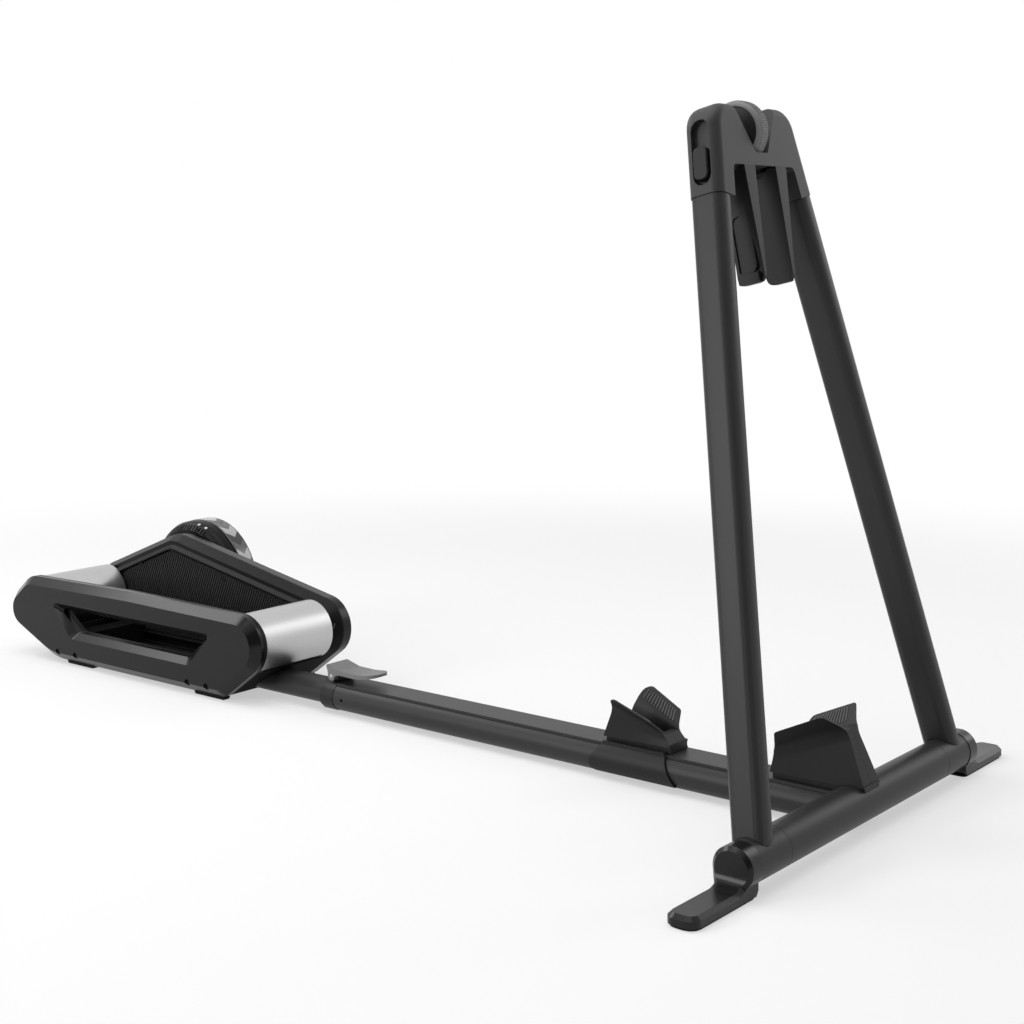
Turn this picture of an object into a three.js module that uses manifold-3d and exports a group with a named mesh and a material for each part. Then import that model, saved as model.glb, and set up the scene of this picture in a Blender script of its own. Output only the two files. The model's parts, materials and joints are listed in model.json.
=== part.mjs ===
// Bike rollers with a front wheel stand. A folding A-frame clamps the front tyre, a telescopic spine carries
// two wheel chocks, and a pair of drums with a belt-driven flywheel sits under the rear wheel.
// Millimetres, +Z up. X runs across the bike and Y along it, towards the rear wheel. Y is counted from the
// crossbar's axis, and the finished part is moved so that its origin is the middle of its footprint.

import * as THREE from 'three';
import { mergeVertices } from 'three/addons/utils/BufferGeometryUtils.js';
import Module from 'manifold-3d';

const wasm = await Module();
wasm.setup();

// Clearances and shared values
const seat = 0.3;              // gap between pieces that touch
const running = 0.4;           // gap round a piece that turns or slides
const overrun = 5;             // how far a cutting shape passes the face it cuts
const cornerSteps = 3;
const roundSteps = 20;
const noseSteps = 16;
const bigRoundSteps = 40;
const wheelSteps = 60;
const sheetSteps = 8;

// Crossbar and the shaft that the A-frame folds on
const crossbarRadius = 24.5;
const crossbarAxisZ = 33;
const crossbarHalf = 193;
const hubLength = 61;
const shaftRadius = 21.5;
const shaftWall = 3;

// Feet
const footDiscRadius = 25.2;
const footDiscThickness = 24;
const footDiscTop = THREE.MathUtils.degToRad(9);
const footBendRadius = 14;
const footTip = 376;
const footWidth = 38.5;
const footTipRadius = 13;
const footToeTop = 15;
const footBevel = 4.6;
const soleThickness = 2.4;
const soleInset = 1.5;

// A-frame
const leanAngle = THREE.MathUtils.degToRad(12.3);
const legFootX = 233;
const legApex = 1155.1;
const legThickness = 29;
const legDepth = 43;
const legCorner = 11;
const legWall = 2;
const legSeam = 713.1;
const plugLength = 30;

// Head of the A-frame, whose heights are counted up its slope from the seam with the legs
const archRise = 34;
const notchFloorRise = 15;
const dialRise = 30;
const crownRise = 27;
const archHeight = legSeam + archRise;
const notchFloor = archHeight + notchFloorRise;
const dialHeight = notchFloor + dialRise;
const headTop = dialHeight + crownRise;
const headSkin = 1;            // how far the head stands proud of the legs
const headShoulder = 30;
const archCorner = 7;
const headWall = 4;
const headSideWall = 13;
const notchFloorHalf = 13;
const notchTopHalf = 47;
const notchCorner = 4;
const notchWall = 3;

// Clamp: dial, lead screw and jaws
const dialRadius = 37;
const dialBevel = 3.5;
const dialWidth = 20;
const dialRimDepth = 7;
const dialBack = 4;            // the dial's axis lies this far behind the A-frame's middle plane
const dialWellGap = 2;
const screwRadius = 5;
const screwHalf = 75;
const jawLength = 133.5;
const jawTopGap = 0.5;
const jawTop = archHeight - jawTopGap;
const jawBottom = jawTop - jawLength;
const jawGapTop = 22.6;
const jawGapBottom = 29.8;
const jawOuterTop = 46.5;
const jawOuterBottom = 33.2;
const jawFrontTop = 24;
const jawFrontBottom = 18.4;
const jawBack = 18;
const jawCorner = 9;
const jawSkin = 5;
const jawLedge = 13;
const jawLedgeX = 38.5;
const jawArmDrop = 1.5;
const jawArmFront = 13;
const jawArmBack = 15;
const jawPocketDepth = 2;
const jawPocketRim = 4;
const jawPocketLength = 66;
const nutInner = 57;
const nutOuter = 68;
const nutRadius = 8;
const rodRadius = 4.5;
const rodRise = 3;
const rodHeight = archHeight + rodRise;
const rodNotchRadius = 12;

// Release slider in the left side of the head
const sliderSlotRise = 13;
const sliderSlotLength = 77;
const sliderSlotWidth = 24;
const sliderSlotDepth = 8;
const sliderRise = 6.5;
const sliderLength = 38;
const sliderWidth = 18.5;
const sliderCorner = 6.5;
const sliderProud = 3;

// Spine
const spineWidth = 66;
const spineHeight = 42;
const spineAxisZ = 25.6;
const spineCorner = 21;
const spineWall = 3;
const spineEnd = 840.7;
const stripWidth = 46.6;
const grooveWidth = 1.2;
const grooveDepth = 1;
const stopHoleRadius = 2.4;
const stopHoleBefore = 18;
const innerWidth = 56;
const innerHeight = 32;
const innerCorner = 16;
const innerWall = 3;
const innerFront = 590;

// Collar and cam lever
const collarLength = 26.5;
const collarProud = 1;
const spigotLength = 25;
const pinBack = 13.6;
const pinHeight = 55.6;
const pinRadius = 3;
const pinBossHalf = 11;
const pinBossRadius = 6;
const leverHalf = 21;
const leverEyeRadius = 7;
const leverTipRadius = 20;
const leverEdgeRadius = 2;
// The lever's blade in side view, counted from its pin: the upper edge to the tip, then the lower edge back
const leverUpper = [[11, 17.5], [-18, 9.5], [-50, 8.8], [-64, 10], [-86, 12.5]];
const leverLower = [[-84, 7.5], [-65, 4.2], [-47, 2.4], [-14, 3.2], [-6, 0], [6.5, 0], [7.5, 7.5]];

// Chocks: a folded sheet on each side, given by the lines of its foot, its fold and its lip, from front to rear
const chockWall = 4;
const chockFoldReach = 13;     // how far the rounding of the fold reaches along the sheet
const chockRim = 3;            // the rim at the sheet's foot, which overhangs the spine
const frontFoot = [[19, -17.5, 55], [24, 105, 55]];
const frontFold = [[11, 10, 120], [25, 98, 83]];
const frontLip = [[42.8, 27.2, 139.5], [48, 86, 112]];
const frontLipCorners = [6, 9, 8];
const frontStemThickness = 9;
const frontBaseHalf = 17;
const rearFoot = [[20, 251, 56], [26, 350, 56]];
const rearFold = [[14.5, 262, 70], [27, 334, 96]];
const rearLip = [[36.5, 271.5, 89.5], [45.2, 328, 114.5]];
const rearLipCorners = [8, 13, 8];
const rearStemThickness = 9;
const rearBaseHalf = 19;
const skirtWall = 3;
const skirtFrontTop = 257;
const skirtFrontBottom = 236;
const skirtRearTop = 350;
const skirtRearBottom = 367;
const skirtBottom = 9.5;
const skirtCorner = 8;
const chockPlay = 0.4;

// Drums
const frontDrumY = 993;
const rearDrumY = 1508;
const drumAxisZ = 92;
const drumRadius = 46;
const drumWall = 3;
const drumLeft = -61.4;
const drumRight = 74.4;
const capThickness = 14;
const axleRadius = 6;
const bearingRadius = 14;
const bearingWidth = 9;
const capBossRadius = 18;
const pulleyRadius = 30;
const pulleyWidth = 12;
const stubRadius = 12;

// Housings
const noseRadius = 48;
const sideOuter = -88;
const sideSplit = -70;
const sideInner = -62;
const sideBevel = 13;
const housingBottom = 5.5;
const bottomFrontY = 1040;
const bottomRearY = 1440;
const bottomCorner = 26;
const bellyRadius = 110;
const tailBack = 30;           // the tail's round end, counted from the rear drum's axis
const tailDrop = 12;
const tailRadius = 39;
const sideCrownRadius = 1500;
const sideCrownZ = 143.5;
const shellWall = 3;
const windowTopZ = 94;
const windowBottomZ = 57.5;
const windowTopFront = 1055;
const windowTopRear = 1442;
const windowBottomFront = 1112;
const windowBottomRear = 1393;
const windowBevel = 10;
const windowCorner = 5;
const sideScrewYs = [1061, 1106, 1393, 1441];
const sideScrewZ = 20;
const sideScrewRadius = 5.5;
const sideScrewDepth = 5;
const sideInnerBevel = 2;
const driveInner = 75;
const driveSplit = 97;
const driveOuter = 120;
const driveBevel = 7;
const apexY = 1334;
const apexZ = 206;
const apexRadius = 60;
const rimFlat = 2;             // the drive housing's rim, from its seam inwards: a flat, a bevel and a step
const rimBevelInset = 9.5;
const rimStepInset = 16;
const rimStepDepth = 5;
const panelInset = 22;
const panelRidge = 2;
const panelDepth = 6;
const panelDraft = 1;
const sidePadWidth = 12;
const drivePadWidth = 24;
const padLength = 72;
const padFrontY = 1070;
const padRearY = 1398;
const padBevel = 3;

// Floor pan between the housings
const panThickness = 5;
const panDrumGap = 1;
const panLipTop = 50.5;
const panBeamFront = 1046;
const panBeamRear = 1420;
const panBeamDepth = 38;
const panBeamTop = 56;
const panRearBeamTop = 46;
const panTongueMargin = 6;
const panTongueBottom = 33;
const panSocket = 30;

// Flywheel, its cover and its drive
const flywheelY = 1344;
const flywheelZ = 117.5;
const flywheelRadius = 106;
const flywheelInner = 151;
const flywheelOuter = 181;
const bandThickness = 3;
const bandEdge = 2.5;
const webThickness = 8;
const flywheelRim = 17;
const flywheelEdge = 1;
const hubRadius = 22;
const flywheelShaftRadius = 8;
const flywheelBearingRadius = 17;
const flywheelPulleyRadius = 17;
const beltThickness = 2.2;
const coverBase = 91;
const coverShoulder = 101.5;
const coverCrown = 104.5;
const coverRadius = 105;
const coverConeWidth = 9.7;
const coverCrownWidth = 6;
const coverLength = 28;
const coverWall = 3;
const coverHole = 20.5;
const ventFirst = THREE.MathUtils.degToRad(-62);
const ventLast = THREE.MathUtils.degToRad(23);
const ventCount = 21;
const ventWidth = 2.6;
const ventMargin = 1.4;
const lensRadius = 2.6;
const lensHeight = 0.4;
const lensBack = 2.3;
const lensEdge = 1;
const lensAngleShares = [0.0256, 0.0536];
const lensSink = 5;
const lensMargin = 0.02;
const inletRadius = 7;
const inletLength = 12;
const inletProud = 1;
const inletY = 1130;
const inletZ = 60;

// Finishes
const charcoal = { color: 0x3c3c3e, roughness: 0.45, metalness: 0.6 };
const darkMoulding = { color: 0x1e1e20, roughness: 0.55, metalness: 0 };
const headMoulding = { color: 0x38383a, roughness: 0.6, metalness: 0 };
const glossMoulding = { color: 0x141416, roughness: 0.2, metalness: 0 };
const rubber = { color: 0x121212, roughness: 0.9, metalness: 0 };
const satinAluminium = { color: 0xb8b8ba, roughness: 0.35, metalness: 1 };
const brightSteel = { color: 0x9a9a9c, roughness: 0.3, metalness: 1 };
const greyMoulding = { color: 0x77787a, roughness: 0.5, metalness: 0 };
const clearLens = { color: 0xf2f4f6, roughness: 0.2, metalness: 0 };

// Solids from three.js geometry
const xAxis = new THREE.Vector3(1, 0, 0);
const yAxis = new THREE.Vector3(0, 1, 0);
const zAxis = new THREE.Vector3(0, 0, 1);

function signedVolume(positions, triangles) {
  const corner = (i) => new THREE.Vector3().fromArray(positions, i * 3);
  let volume = 0;
  for (let i = 0; i < triangles.length; i += 3) {
    const [a, b, c] = [corner(triangles[i]), corner(triangles[i + 1]), corner(triangles[i + 2])];
    volume += a.dot(b.cross(c));
  }
  return volume;
}

function solid(geometry) {
  const bare = geometry.clone();
  bare.deleteAttribute('normal');
  bare.deleteAttribute('uv');
  const merged = mergeVertices(bare);
  const positions = merged.getAttribute('position').array;
  const index = merged.getIndex().array;
  const triangles = [];
  for (let i = 0; i < index.length; i += 3) {
    const [a, b, c] = [index[i], index[i + 1], index[i + 2]];
    if (a !== b && b !== c && c !== a) triangles.push(a, b, c);
  }
  if (signedVolume(positions, triangles) < 0) triangles.reverse();
  return new wasm.Manifold(new wasm.Mesh({
    numProp: 3,
    vertProperties: new Float32Array(positions),
    triVerts: new Uint32Array(triangles),
  }));
}

function geometryOf(body) {
  const mesh = body.getMesh();
  const geometry = new THREE.BufferGeometry();
  const positions = new Float32Array(mesh.vertProperties);
  geometry.setAttribute('position', new THREE.BufferAttribute(positions, 3));
  geometry.setIndex(new THREE.BufferAttribute(new Uint32Array(mesh.triVerts), 1));
  const flat = geometry.toNonIndexed();
  flat.computeVertexNormals();
  return flat;
}

function extruded(points, depth, holes, placing) {
  const shape = new THREE.Shape(points);
  holes.forEach((hole) => shape.holes.push(new THREE.Path(hole)));
  const geometry = new THREE.ExtrudeGeometry(shape, { depth, bevelEnabled: false, curveSegments: 1 });
  return solid(geometry.applyMatrix4(placing));
}

// Outlines are (y, z) along X, (x, z) along Y and (x, y) along Z
function alongX(points, from, to, holes = []) {
  const placing = new THREE.Matrix4().makeBasis(yAxis, zAxis, xAxis).setPosition(Math.min(from, to), 0, 0);
  return extruded(points, Math.abs(to - from), holes, placing);
}

function alongY(points, from, to, holes = []) {
  const placing = new THREE.Matrix4().makeBasis(xAxis, zAxis, yAxis.clone().negate());
  return extruded(points, Math.abs(to - from), holes, placing.setPosition(0, Math.max(from, to), 0));
}

function alongZ(points, from, to, holes = []) {
  const placing = new THREE.Matrix4().setPosition(0, 0, Math.min(from, to));
  return extruded(points, Math.abs(to - from), holes, placing);
}

function turned(profile, y, z, steps) {
  const points = profile.map(([x, radius]) => new THREE.Vector2(radius, x));
  points.push(points[0].clone());
  const placing = new THREE.Matrix4().makeBasis(yAxis, xAxis, zAxis.clone().negate()).setPosition(0, y, z);
  return solid(new THREE.LatheGeometry(points, steps).applyMatrix4(placing));
}

function joined(...bodies) {
  return bodies.reduce((whole, body) => whole.add(body));
}

function cut(body, ...tools) {
  return tools.reduce((left, tool) => left.subtract(tool), body);
}

// Rings of points, each with as many points, skinned one after the other and closed at both ends
function skinned(rings, flatten, flattenLast = flatten) {
  const count = rings[0].length;
  const positions = rings.flat().flatMap((point) => point.toArray());
  const triangles = [];
  for (let r = 0; r + 1 < rings.length; r += 1) {
    for (let i = 0; i < count; i += 1) {
      const [a, b] = [r * count + i, r * count + ((i + 1) % count)];
      triangles.push(a, b, b + count, a, b + count, a + count);
    }
  }
  const last = (rings.length - 1) * count;
  triangles.push(...capped(rings[0], flatten, false));
  triangles.push(...capped(rings.at(-1), flattenLast, true).map((i) => i + last));
  const geometry = new THREE.BufferGeometry();
  geometry.setAttribute('position', new THREE.BufferAttribute(new Float32Array(positions), 3));
  geometry.setIndex(triangles);
  return solid(geometry);
}

// The triangles that close a ring, running with the ring or against it
function capped(ring, flatten, withRing) {
  const flat = ring.map(flatten);
  const ringWay = THREE.ShapeUtils.isClockWise(flat) ? -1 : 1;
  return THREE.ShapeUtils.triangulateShape(flat, []).flatMap(([a, b, c]) => {
    const turn = flat[b].clone().sub(flat[a]).cross(flat[c].clone().sub(flat[a]));
    return turn * ringWay > 0 === withRing ? [a, b, c] : [a, c, b];
  });
}

// Outlines
const at = (x, y) => new THREE.Vector2(x, y);

function arc(x, y, radius, from, to, steps) {
  return Array.from({ length: steps + 1 }, (_, i) => {
    const angle = from + ((to - from) * i) / steps;
    return at(x + radius * Math.cos(angle), y + radius * Math.sin(angle));
  });
}

function circle(x, y, radius, steps = roundSteps) {
  return arc(x, y, radius, 0, 2 * Math.PI, steps).slice(0, steps);
}

// Corners are [x, y, radius]; a radius is kept within the sides that meet there
function outline(corners, steps = cornerSteps) {
  return corners.flatMap(([x, y, radius = 0], i) => {
    const here = at(x, y);
    const before = at(...corners.at(i - 1)).sub(here);
    const after = at(...corners[(i + 1) % corners.length]).sub(here);
    if (radius === 0) return [here];
    const half = before.angleTo(after) / 2;
    const reach = Math.min(radius / Math.tan(half), before.length() / 2, after.length() / 2);
    const toCentre = before.normalize().clone().add(after.normalize()).setLength(reach / Math.cos(half));
    const centre = here.clone().add(toCentre);
    const start = here.clone().addScaledVector(before, reach).sub(centre);
    const end = here.clone().addScaledVector(after, reach).sub(centre);
    const sweep = Math.atan2(start.cross(end), start.dot(end));
    return arc(centre.x, centre.y, start.length(), start.angle(), start.angle() + sweep, steps);
  });
}

function box(width, height, x, y, radius = 0) {
  const [w, h] = [width / 2, height / 2];
  return outline([
    [x - w, y - h, radius], [x + w, y - h, radius], [x + w, y + h, radius], [x - w, y + h, radius],
  ]);
}

// The belt-like outline round circles [x, y, radius, steps], given in order against the clock
function wrapped(circles, inset = 0) {
  const tangent = (from, to) => {
    const way = at(to[0] - from[0], to[1] - from[1]);
    return way.angle() - Math.acos((from[2] - to[2]) / way.length());
  };
  return circles.flatMap((here, i) => {
    const into = tangent(circles.at(i - 1), here);
    const out = tangent(here, circles[(i + 1) % circles.length]);
    const sweep = THREE.MathUtils.euclideanModulo(out - into, 2 * Math.PI);
    return arc(here[0], here[1], here[2] - inset, into, into + sweep, here[3]);
  });
}

function tiers(levels) {
  const rings = levels.map(([x, points]) => points.map((p) => new THREE.Vector3(x, p.x, p.y)));
  return skinned(rings, (point) => at(point.y, point.z));
}

// The tree
const part = new THREE.Group();
const stand = new THREE.Group();
stand.position.set(0, 0, crossbarAxisZ);
stand.rotation.x = -leanAngle;
part.add(stand);

function add(group, name, body, finish) {
  const mesh = new THREE.Mesh(geometryOf(body), new THREE.MeshStandardMaterial(finish));
  mesh.name = name;
  group.add(mesh);
}

const sides = [['left', -1], ['right', 1]];

// Crossbar and pivot shaft
const crossbarBore = shaftRadius + running;
const hubStart = crossbarHalf + seat;
const hubEnd = hubStart + hubLength;
const discStart = hubEnd + seat;
const discEnd = discStart + footDiscThickness;
const crossbarRound = circle(0, crossbarAxisZ, crossbarRadius, bigRoundSteps);
const crossbarClear = circle(0, crossbarAxisZ, crossbarRadius + seat, bigRoundSteps);
const boreRound = circle(0, crossbarAxisZ, crossbarBore, bigRoundSteps);
add(part, 'crossbar_tube', alongX(crossbarRound, -crossbarHalf, crossbarHalf, [boreRound]), charcoal);

const shaftEnd = discStart + footDiscThickness / 2;
const shaftRound = circle(0, crossbarAxisZ, shaftRadius, bigRoundSteps);
const shaftHollow = circle(0, crossbarAxisZ, shaftRadius - shaftWall, bigRoundSteps);
add(part, 'pivot_shaft', alongX(shaftRound, -shaftEnd, shaftEnd, [shaftHollow]), brightSteel);

// Feet: a keyhole-shaped slab, bent from the end of the shaft out along the floor
const footBendX = discEnd + footBendRadius;
const footBendStart = crossbarAxisZ - footToeTop - footBendRadius;
const footBendEnd = footBendStart + (footBendRadius * Math.PI) / 2;
const footLength = footTip - footBendX + footBendEnd;
const toeBottom = soleThickness + seat;

// Half of the keyhole, unrolled: the way along the slab from the shaft's axis, and the half width there
function footOutline(inset) {
  const radius = footDiscRadius - inset;
  const half = footWidth / 2 - inset;
  const joint = Math.asin(half / radius);
  const tip = at(footLength - footTipRadius, footWidth / 2 - footTipRadius);
  return [
    ...arc(0, 0, radius, Math.PI - footDiscTop, joint, roundSteps), at(footBendEnd, half),
    ...arc(tip.x, tip.y, footTipRadius - inset, Math.PI / 2, 0, 2 * cornerSteps),
  ];
}

function footPoint(side, along, across, depth) {
  if (along < footBendStart) {
    return new THREE.Vector3(side * (discEnd - depth), across, crossbarAxisZ - along);
  }
  if (along < footBendEnd) {
    const angle = (along - footBendStart) / footBendRadius;
    const reach = footBendRadius + depth;
    return new THREE.Vector3(
      side * (footBendX - reach * Math.cos(angle)), across, footToeTop + footBendRadius - reach * Math.sin(angle),
    );
  }
  return new THREE.Vector3(side * (footBendX + along - footBendEnd), across, footToeTop - depth);
}

function foot(side) {
  const slabDepth = footDiscThickness + overrun;
  const upper = footOutline(footBevel);
  const lower = footOutline(0);
  const rings = lower.map((low, i) => [
    footPoint(side, upper[i].x, -upper[i].y, 0), footPoint(side, upper[i].x, upper[i].y, 0),
    footPoint(side, low.x, low.y, footBevel), footPoint(side, low.x, low.y, slabDepth),
    footPoint(side, low.x, -low.y, slabDepth), footPoint(side, low.x, -low.y, footBevel),
  ]);
  const slab = skinned(rings, (p) => at(p.y, 2 * side * p.x + p.z), (p) => at(p.y, p.z));
  const shape = footDiscRadius + seat;
  const flank = Math.asin(footWidth / 2 / shape);
  const endView = [
    ...arc(0, crossbarAxisZ, shape, -Math.PI / 2 + flank, Math.PI * 1.5 - flank, bigRoundSteps),
    at(-footWidth / 2 - seat, toeBottom), at(footWidth / 2 + seat, toeBottom),
  ];
  const shaftSocket = circle(0, crossbarAxisZ, shaftRadius + seat, bigRoundSteps);
  return cut(
    slab.intersect(alongX(endView, side * discStart, side * (footTip + overrun))),
    alongX(shaftSocket, side * (discStart - overrun), side * (shaftEnd + seat)),
  );
}

sides.forEach(([name, side]) => {
  add(part, `${name}_foot`, foot(side), glossMoulding);
  const half = footWidth / 2 - soleInset;
  const [heel, tip] = [discStart + soleInset, footTip - soleInset];
  const sole = outline([
    [side * heel, -half, footTipRadius / 2], [side * tip, -half, footTipRadius],
    [side * tip, half, footTipRadius], [side * heel, half, footTipRadius / 2],
  ]);
  add(part, `${name}_sole`, alongZ(sole, 0, soleThickness), rubber);
});

// A-frame, in its own frame: X across, Y through its thickness and Z up its slope from the shaft's axis
const legAngle = Math.atan2(legFootX, legApex);
const legMiddle = (height) => legFootX * (1 - height / legApex);
const legHalf = legThickness / 2 / Math.cos(legAngle);
const legEnd = legSeam / Math.cos(legAngle);

function legBar(side, width, depth, corner, from, to, hollow = []) {
  const placing = new THREE.Matrix4().makeRotationY(-side * legAngle).setPosition(side * legFootX, 0, 0);
  placing.multiply(new THREE.Matrix4().setPosition(0, 0, from));
  return extruded(box(width, depth, 0, 0, corner), to - from, hollow, placing);
}

sides.forEach(([name, side]) => {
  const hub = alongX(
    circle(0, 0, crossbarRadius, bigRoundSteps), side * hubStart, side * hubEnd,
    [circle(0, 0, crossbarBore, bigRoundSteps)],
  );
  add(stand, `${name}_hub`, hub, charcoal);
  const hollow = box(legThickness - 2 * legWall, legDepth - 2 * legWall, 0, 0, legCorner - legWall);
  const leg = legBar(side, legThickness, legDepth, legCorner, 0, legEnd, [hollow]);
  const hubClear = alongX(
    circle(0, 0, crossbarRadius + seat, bigRoundSteps), side * crossbarHalf, side * (discStart + overrun),
  );
  add(stand, `${name}_leg`, cut(leg, hubClear), charcoal);
});

// Head casing: a shoulder over each leg, an arch between them and a notch for the dial
const headDepth = legDepth + 2 * headSkin;
const headCorner = legCorner + headSkin;
const headHalf = (legThickness / 2 + headSkin) / Math.cos(legAngle);
const headOuter = (height) => legMiddle(height) + headHalf;
const headInner = (height) => legMiddle(height) - headHalf;

function headRing(y, inset) {
  const [foot, top] = [legSeam - overrun, headTop - inset];
  return outline([
    [inset - headOuter(foot), foot, 0], [headOuter(foot) - inset, foot, 0],
    [headOuter(top) - inset, top, headShoulder - inset], [inset - headOuter(top), top, headShoulder - inset],
  ], 2 * cornerSteps).map((p) => new THREE.Vector3(p.x, y, p.y));
}

function headBlock() {
  const front = arc(headDepth / 2 - headCorner, headCorner, headCorner, 0, -Math.PI / 2, 2 * cornerSteps);
  const frontRings = front.map((p) => headRing(-p.x, p.y));
  const rearRings = front.map((p) => headRing(p.x, p.y)).reverse();
  return skinned([...frontRings, ...rearRings], (p) => at(p.x, p.z));
}

function notchOutline(grow) {
  const slope = (notchTopHalf - notchFloorHalf) / (headTop - notchFloor);
  const top = headTop + overrun;
  const half = (height) => notchFloorHalf + grow + slope * (height - notchFloor);
  return outline([
    [-half(notchFloor), notchFloor - grow, notchCorner], [half(notchFloor), notchFloor - grow, notchCorner],
    [half(top), top, 0], [-half(top), top, 0],
  ]);
}

function head() {
  const halfDepth = headDepth / 2;
  const archFoot = legSeam - 2 * overrun;
  const arch = alongY(outline([
    [-headInner(archFoot), archFoot, 0], [headInner(archFoot), archFoot, 0],
    [headInner(archHeight), archHeight, archCorner],
    [-headInner(archHeight), archHeight, archCorner],
  ]), -headDepth, headDepth);
  const outer = (height) => headOuter(height) - headSideWall;
  const mouth = headInner(archHeight) - headWall;
  const roof = headTop - headWall;
  const mechanismFloor = archHeight + headWall;
  const pocket = alongY(outline([
    [-mouth, archHeight - overrun, 0], [mouth, archHeight - overrun, 0], [mouth, mechanismFloor, 0],
    [outer(notchFloor), notchFloor, 0], [outer(roof), roof, headShoulder / 2],
    [-outer(roof), roof, headShoulder / 2], [-outer(notchFloor), notchFloor, 0], [-mouth, mechanismFloor, 0],
  ]), -halfDepth + headWall, halfDepth - headWall);
  const notch = alongY(notchOutline(0), -headDepth, headDepth);
  const notchWalls = alongY(notchOutline(notchWall), -headDepth, headDepth);
  const wellHalf = dialWidth / 2 + dialWellGap;
  const wellRound = circle(dialBack, dialHeight, dialRadius + dialWellGap, bigRoundSteps);
  const well = alongX(wellRound, -wellHalf, wellHalf);
  const keelBox = box(2 * (wellHalf + notchWall), 2 * notchFloorRise, 0, archHeight);
  const keel = alongY(keelBox, -headDepth, headDepth);
  const screwHole = alongX(circle(dialBack, dialHeight, screwRadius + running), -screwHalf, screwHalf);
  const rodHole = alongX(circle(0, rodHeight, rodRadius + seat), -rodHalf() - seat, rodHalf() + seat);
  const slot = sliderPill(
    sliderSlotWidth, sliderSlotLength, legSeam + sliderSlotRise, sliderSlotWidth / 2, -sliderSlotDepth, overrun,
  );
  const seams = sides.map(([, side]) => legBar(
    side, 2 * legThickness, 2 * headDepth, 0, legEnd - legThickness, legEnd + seat,
  ));
  const plugs = sides.map(([, side]) => legBar(
    side, legThickness - 2 * (legWall + seat), legDepth - 2 * (legWall + seat), legCorner - legWall - seat,
    legEnd - plugLength, legEnd + seat + overrun,
  ));
  const mechanism = pocket.subtract(notchWalls).subtract(keel);
  const shell = cut(headBlock(), arch, mechanism, notch, well, screwHole, ...seams);
  return cut(joined(shell, ...plugs), rodHole, slot);
}

// The guide rod's ends sit in the head's shoulders
function rodHalf() {
  return headInner(rodHeight) + headWall;
}

// A rounded bar across the left shoulder, from a depth under its surface to a height over it
function sliderPill(width, length, foot, corner, low, high) {
  const middle = foot + length / 2;
  const placing = new THREE.Matrix4().makeTranslation(-headOuter(middle), 0, middle);
  placing.multiply(new THREE.Matrix4().makeRotationY(legAngle));
  placing.multiply(new THREE.Matrix4().makeBasis(yAxis, zAxis, xAxis).setPosition(-high, 0, 0));
  return extruded(box(width, length, 0, 0, corner), high - low, [], placing);
}

add(stand, 'head_casing', head(), headMoulding);
const rodRound = circle(0, rodHeight, rodRadius);
add(stand, 'guide_rod', alongX(rodRound, -rodHalf(), rodHalf()), brightSteel);
add(stand, 'release_slider', sliderPill(
  sliderWidth, sliderLength, legSeam + sliderSlotRise + sliderRise, sliderCorner, -sliderSlotDepth + running,
  sliderProud,
), headMoulding);

// Dial, its core and the lead screw
const halfDial = dialWidth / 2;
const rimBore = dialRadius - dialRimDepth;
add(stand, 'dial_rim', turned([
  [-halfDial, rimBore], [-halfDial, dialRadius - dialBevel], [-halfDial + dialBevel, dialRadius],
  [halfDial - dialBevel, dialRadius], [halfDial, dialRadius - dialBevel], [halfDial, rimBore],
], dialBack, dialHeight, bigRoundSteps), greyMoulding);
const coreHalf = halfDial - dialBevel / 2;
const coreRadius = rimBore - seat;
add(stand, 'dial_core', turned([
  [-coreHalf, screwRadius + seat], [-coreHalf, coreRadius], [coreHalf, coreRadius],
  [coreHalf, screwRadius + seat],
], dialBack, dialHeight, bigRoundSteps), darkMoulding);
const leadHalf = screwHalf - 2 * running;
add(stand, 'lead_screw', alongX(circle(dialBack, dialHeight, screwRadius), -leadHalf, leadHalf), brightSteel);

// Jaws: a shoe with a wedge-shaped front lip and a bottom ledge, on an arm with the lead screw's nut
const between = (low, high, height) => THREE.MathUtils.mapLinear(height, jawBottom, jawTop, low, high);
const gapAt = (height) => between(jawGapBottom, jawGapTop, height);
const lipAt = (height) => between(jawOuterBottom, jawOuterTop, height);
const frontAt = (height) => between(jawFrontBottom, jawFrontTop, height);

function jawSide(grow) {
  return outline([
    [-frontAt(jawBottom), jawBottom, jawCorner], [jawBack, jawBottom, jawCorner], [jawBack, jawTop, 0],
    [-frontAt(jawTop) - grow, jawTop, 0],
  ]);
}

function shoe(side) {
  const face = (height) => side * gapAt(height);
  const skin = (height) => side * (gapAt(height) + jawSkin);
  const wedge = alongY([
    at(face(jawBottom), jawBottom), at(side * lipAt(jawBottom), jawBottom), at(side * lipAt(jawTop), jawTop),
    at(face(jawTop), jawTop),
  ], -jawFrontTop - overrun, -jawArmFront - seat);
  const plate = alongY([
    at(face(jawBottom), jawBottom), at(skin(jawBottom), jawBottom),
    at(skin(jawTop), jawTop), at(face(jawTop), jawTop),
  ], -jawFrontTop - overrun, jawBack + overrun);
  const ledge = alongY([
    at(face(jawBottom), jawBottom), at(side * jawLedgeX, jawBottom), at(side * jawLedgeX, jawBottom + jawLedge),
    at(face(jawBottom + jawLedge), jawBottom + jawLedge),
  ], -jawArmFront, jawArmBack);
  const whole = joined(wedge, plate, ledge).intersect(alongX(jawSide(0), 0, side * (jawOuterTop + overrun)));
  return cut(whole, alongX(circle(0, rodHeight, rodNotchRadius), 0, side * (jawOuterTop + overrun)));
}

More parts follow.
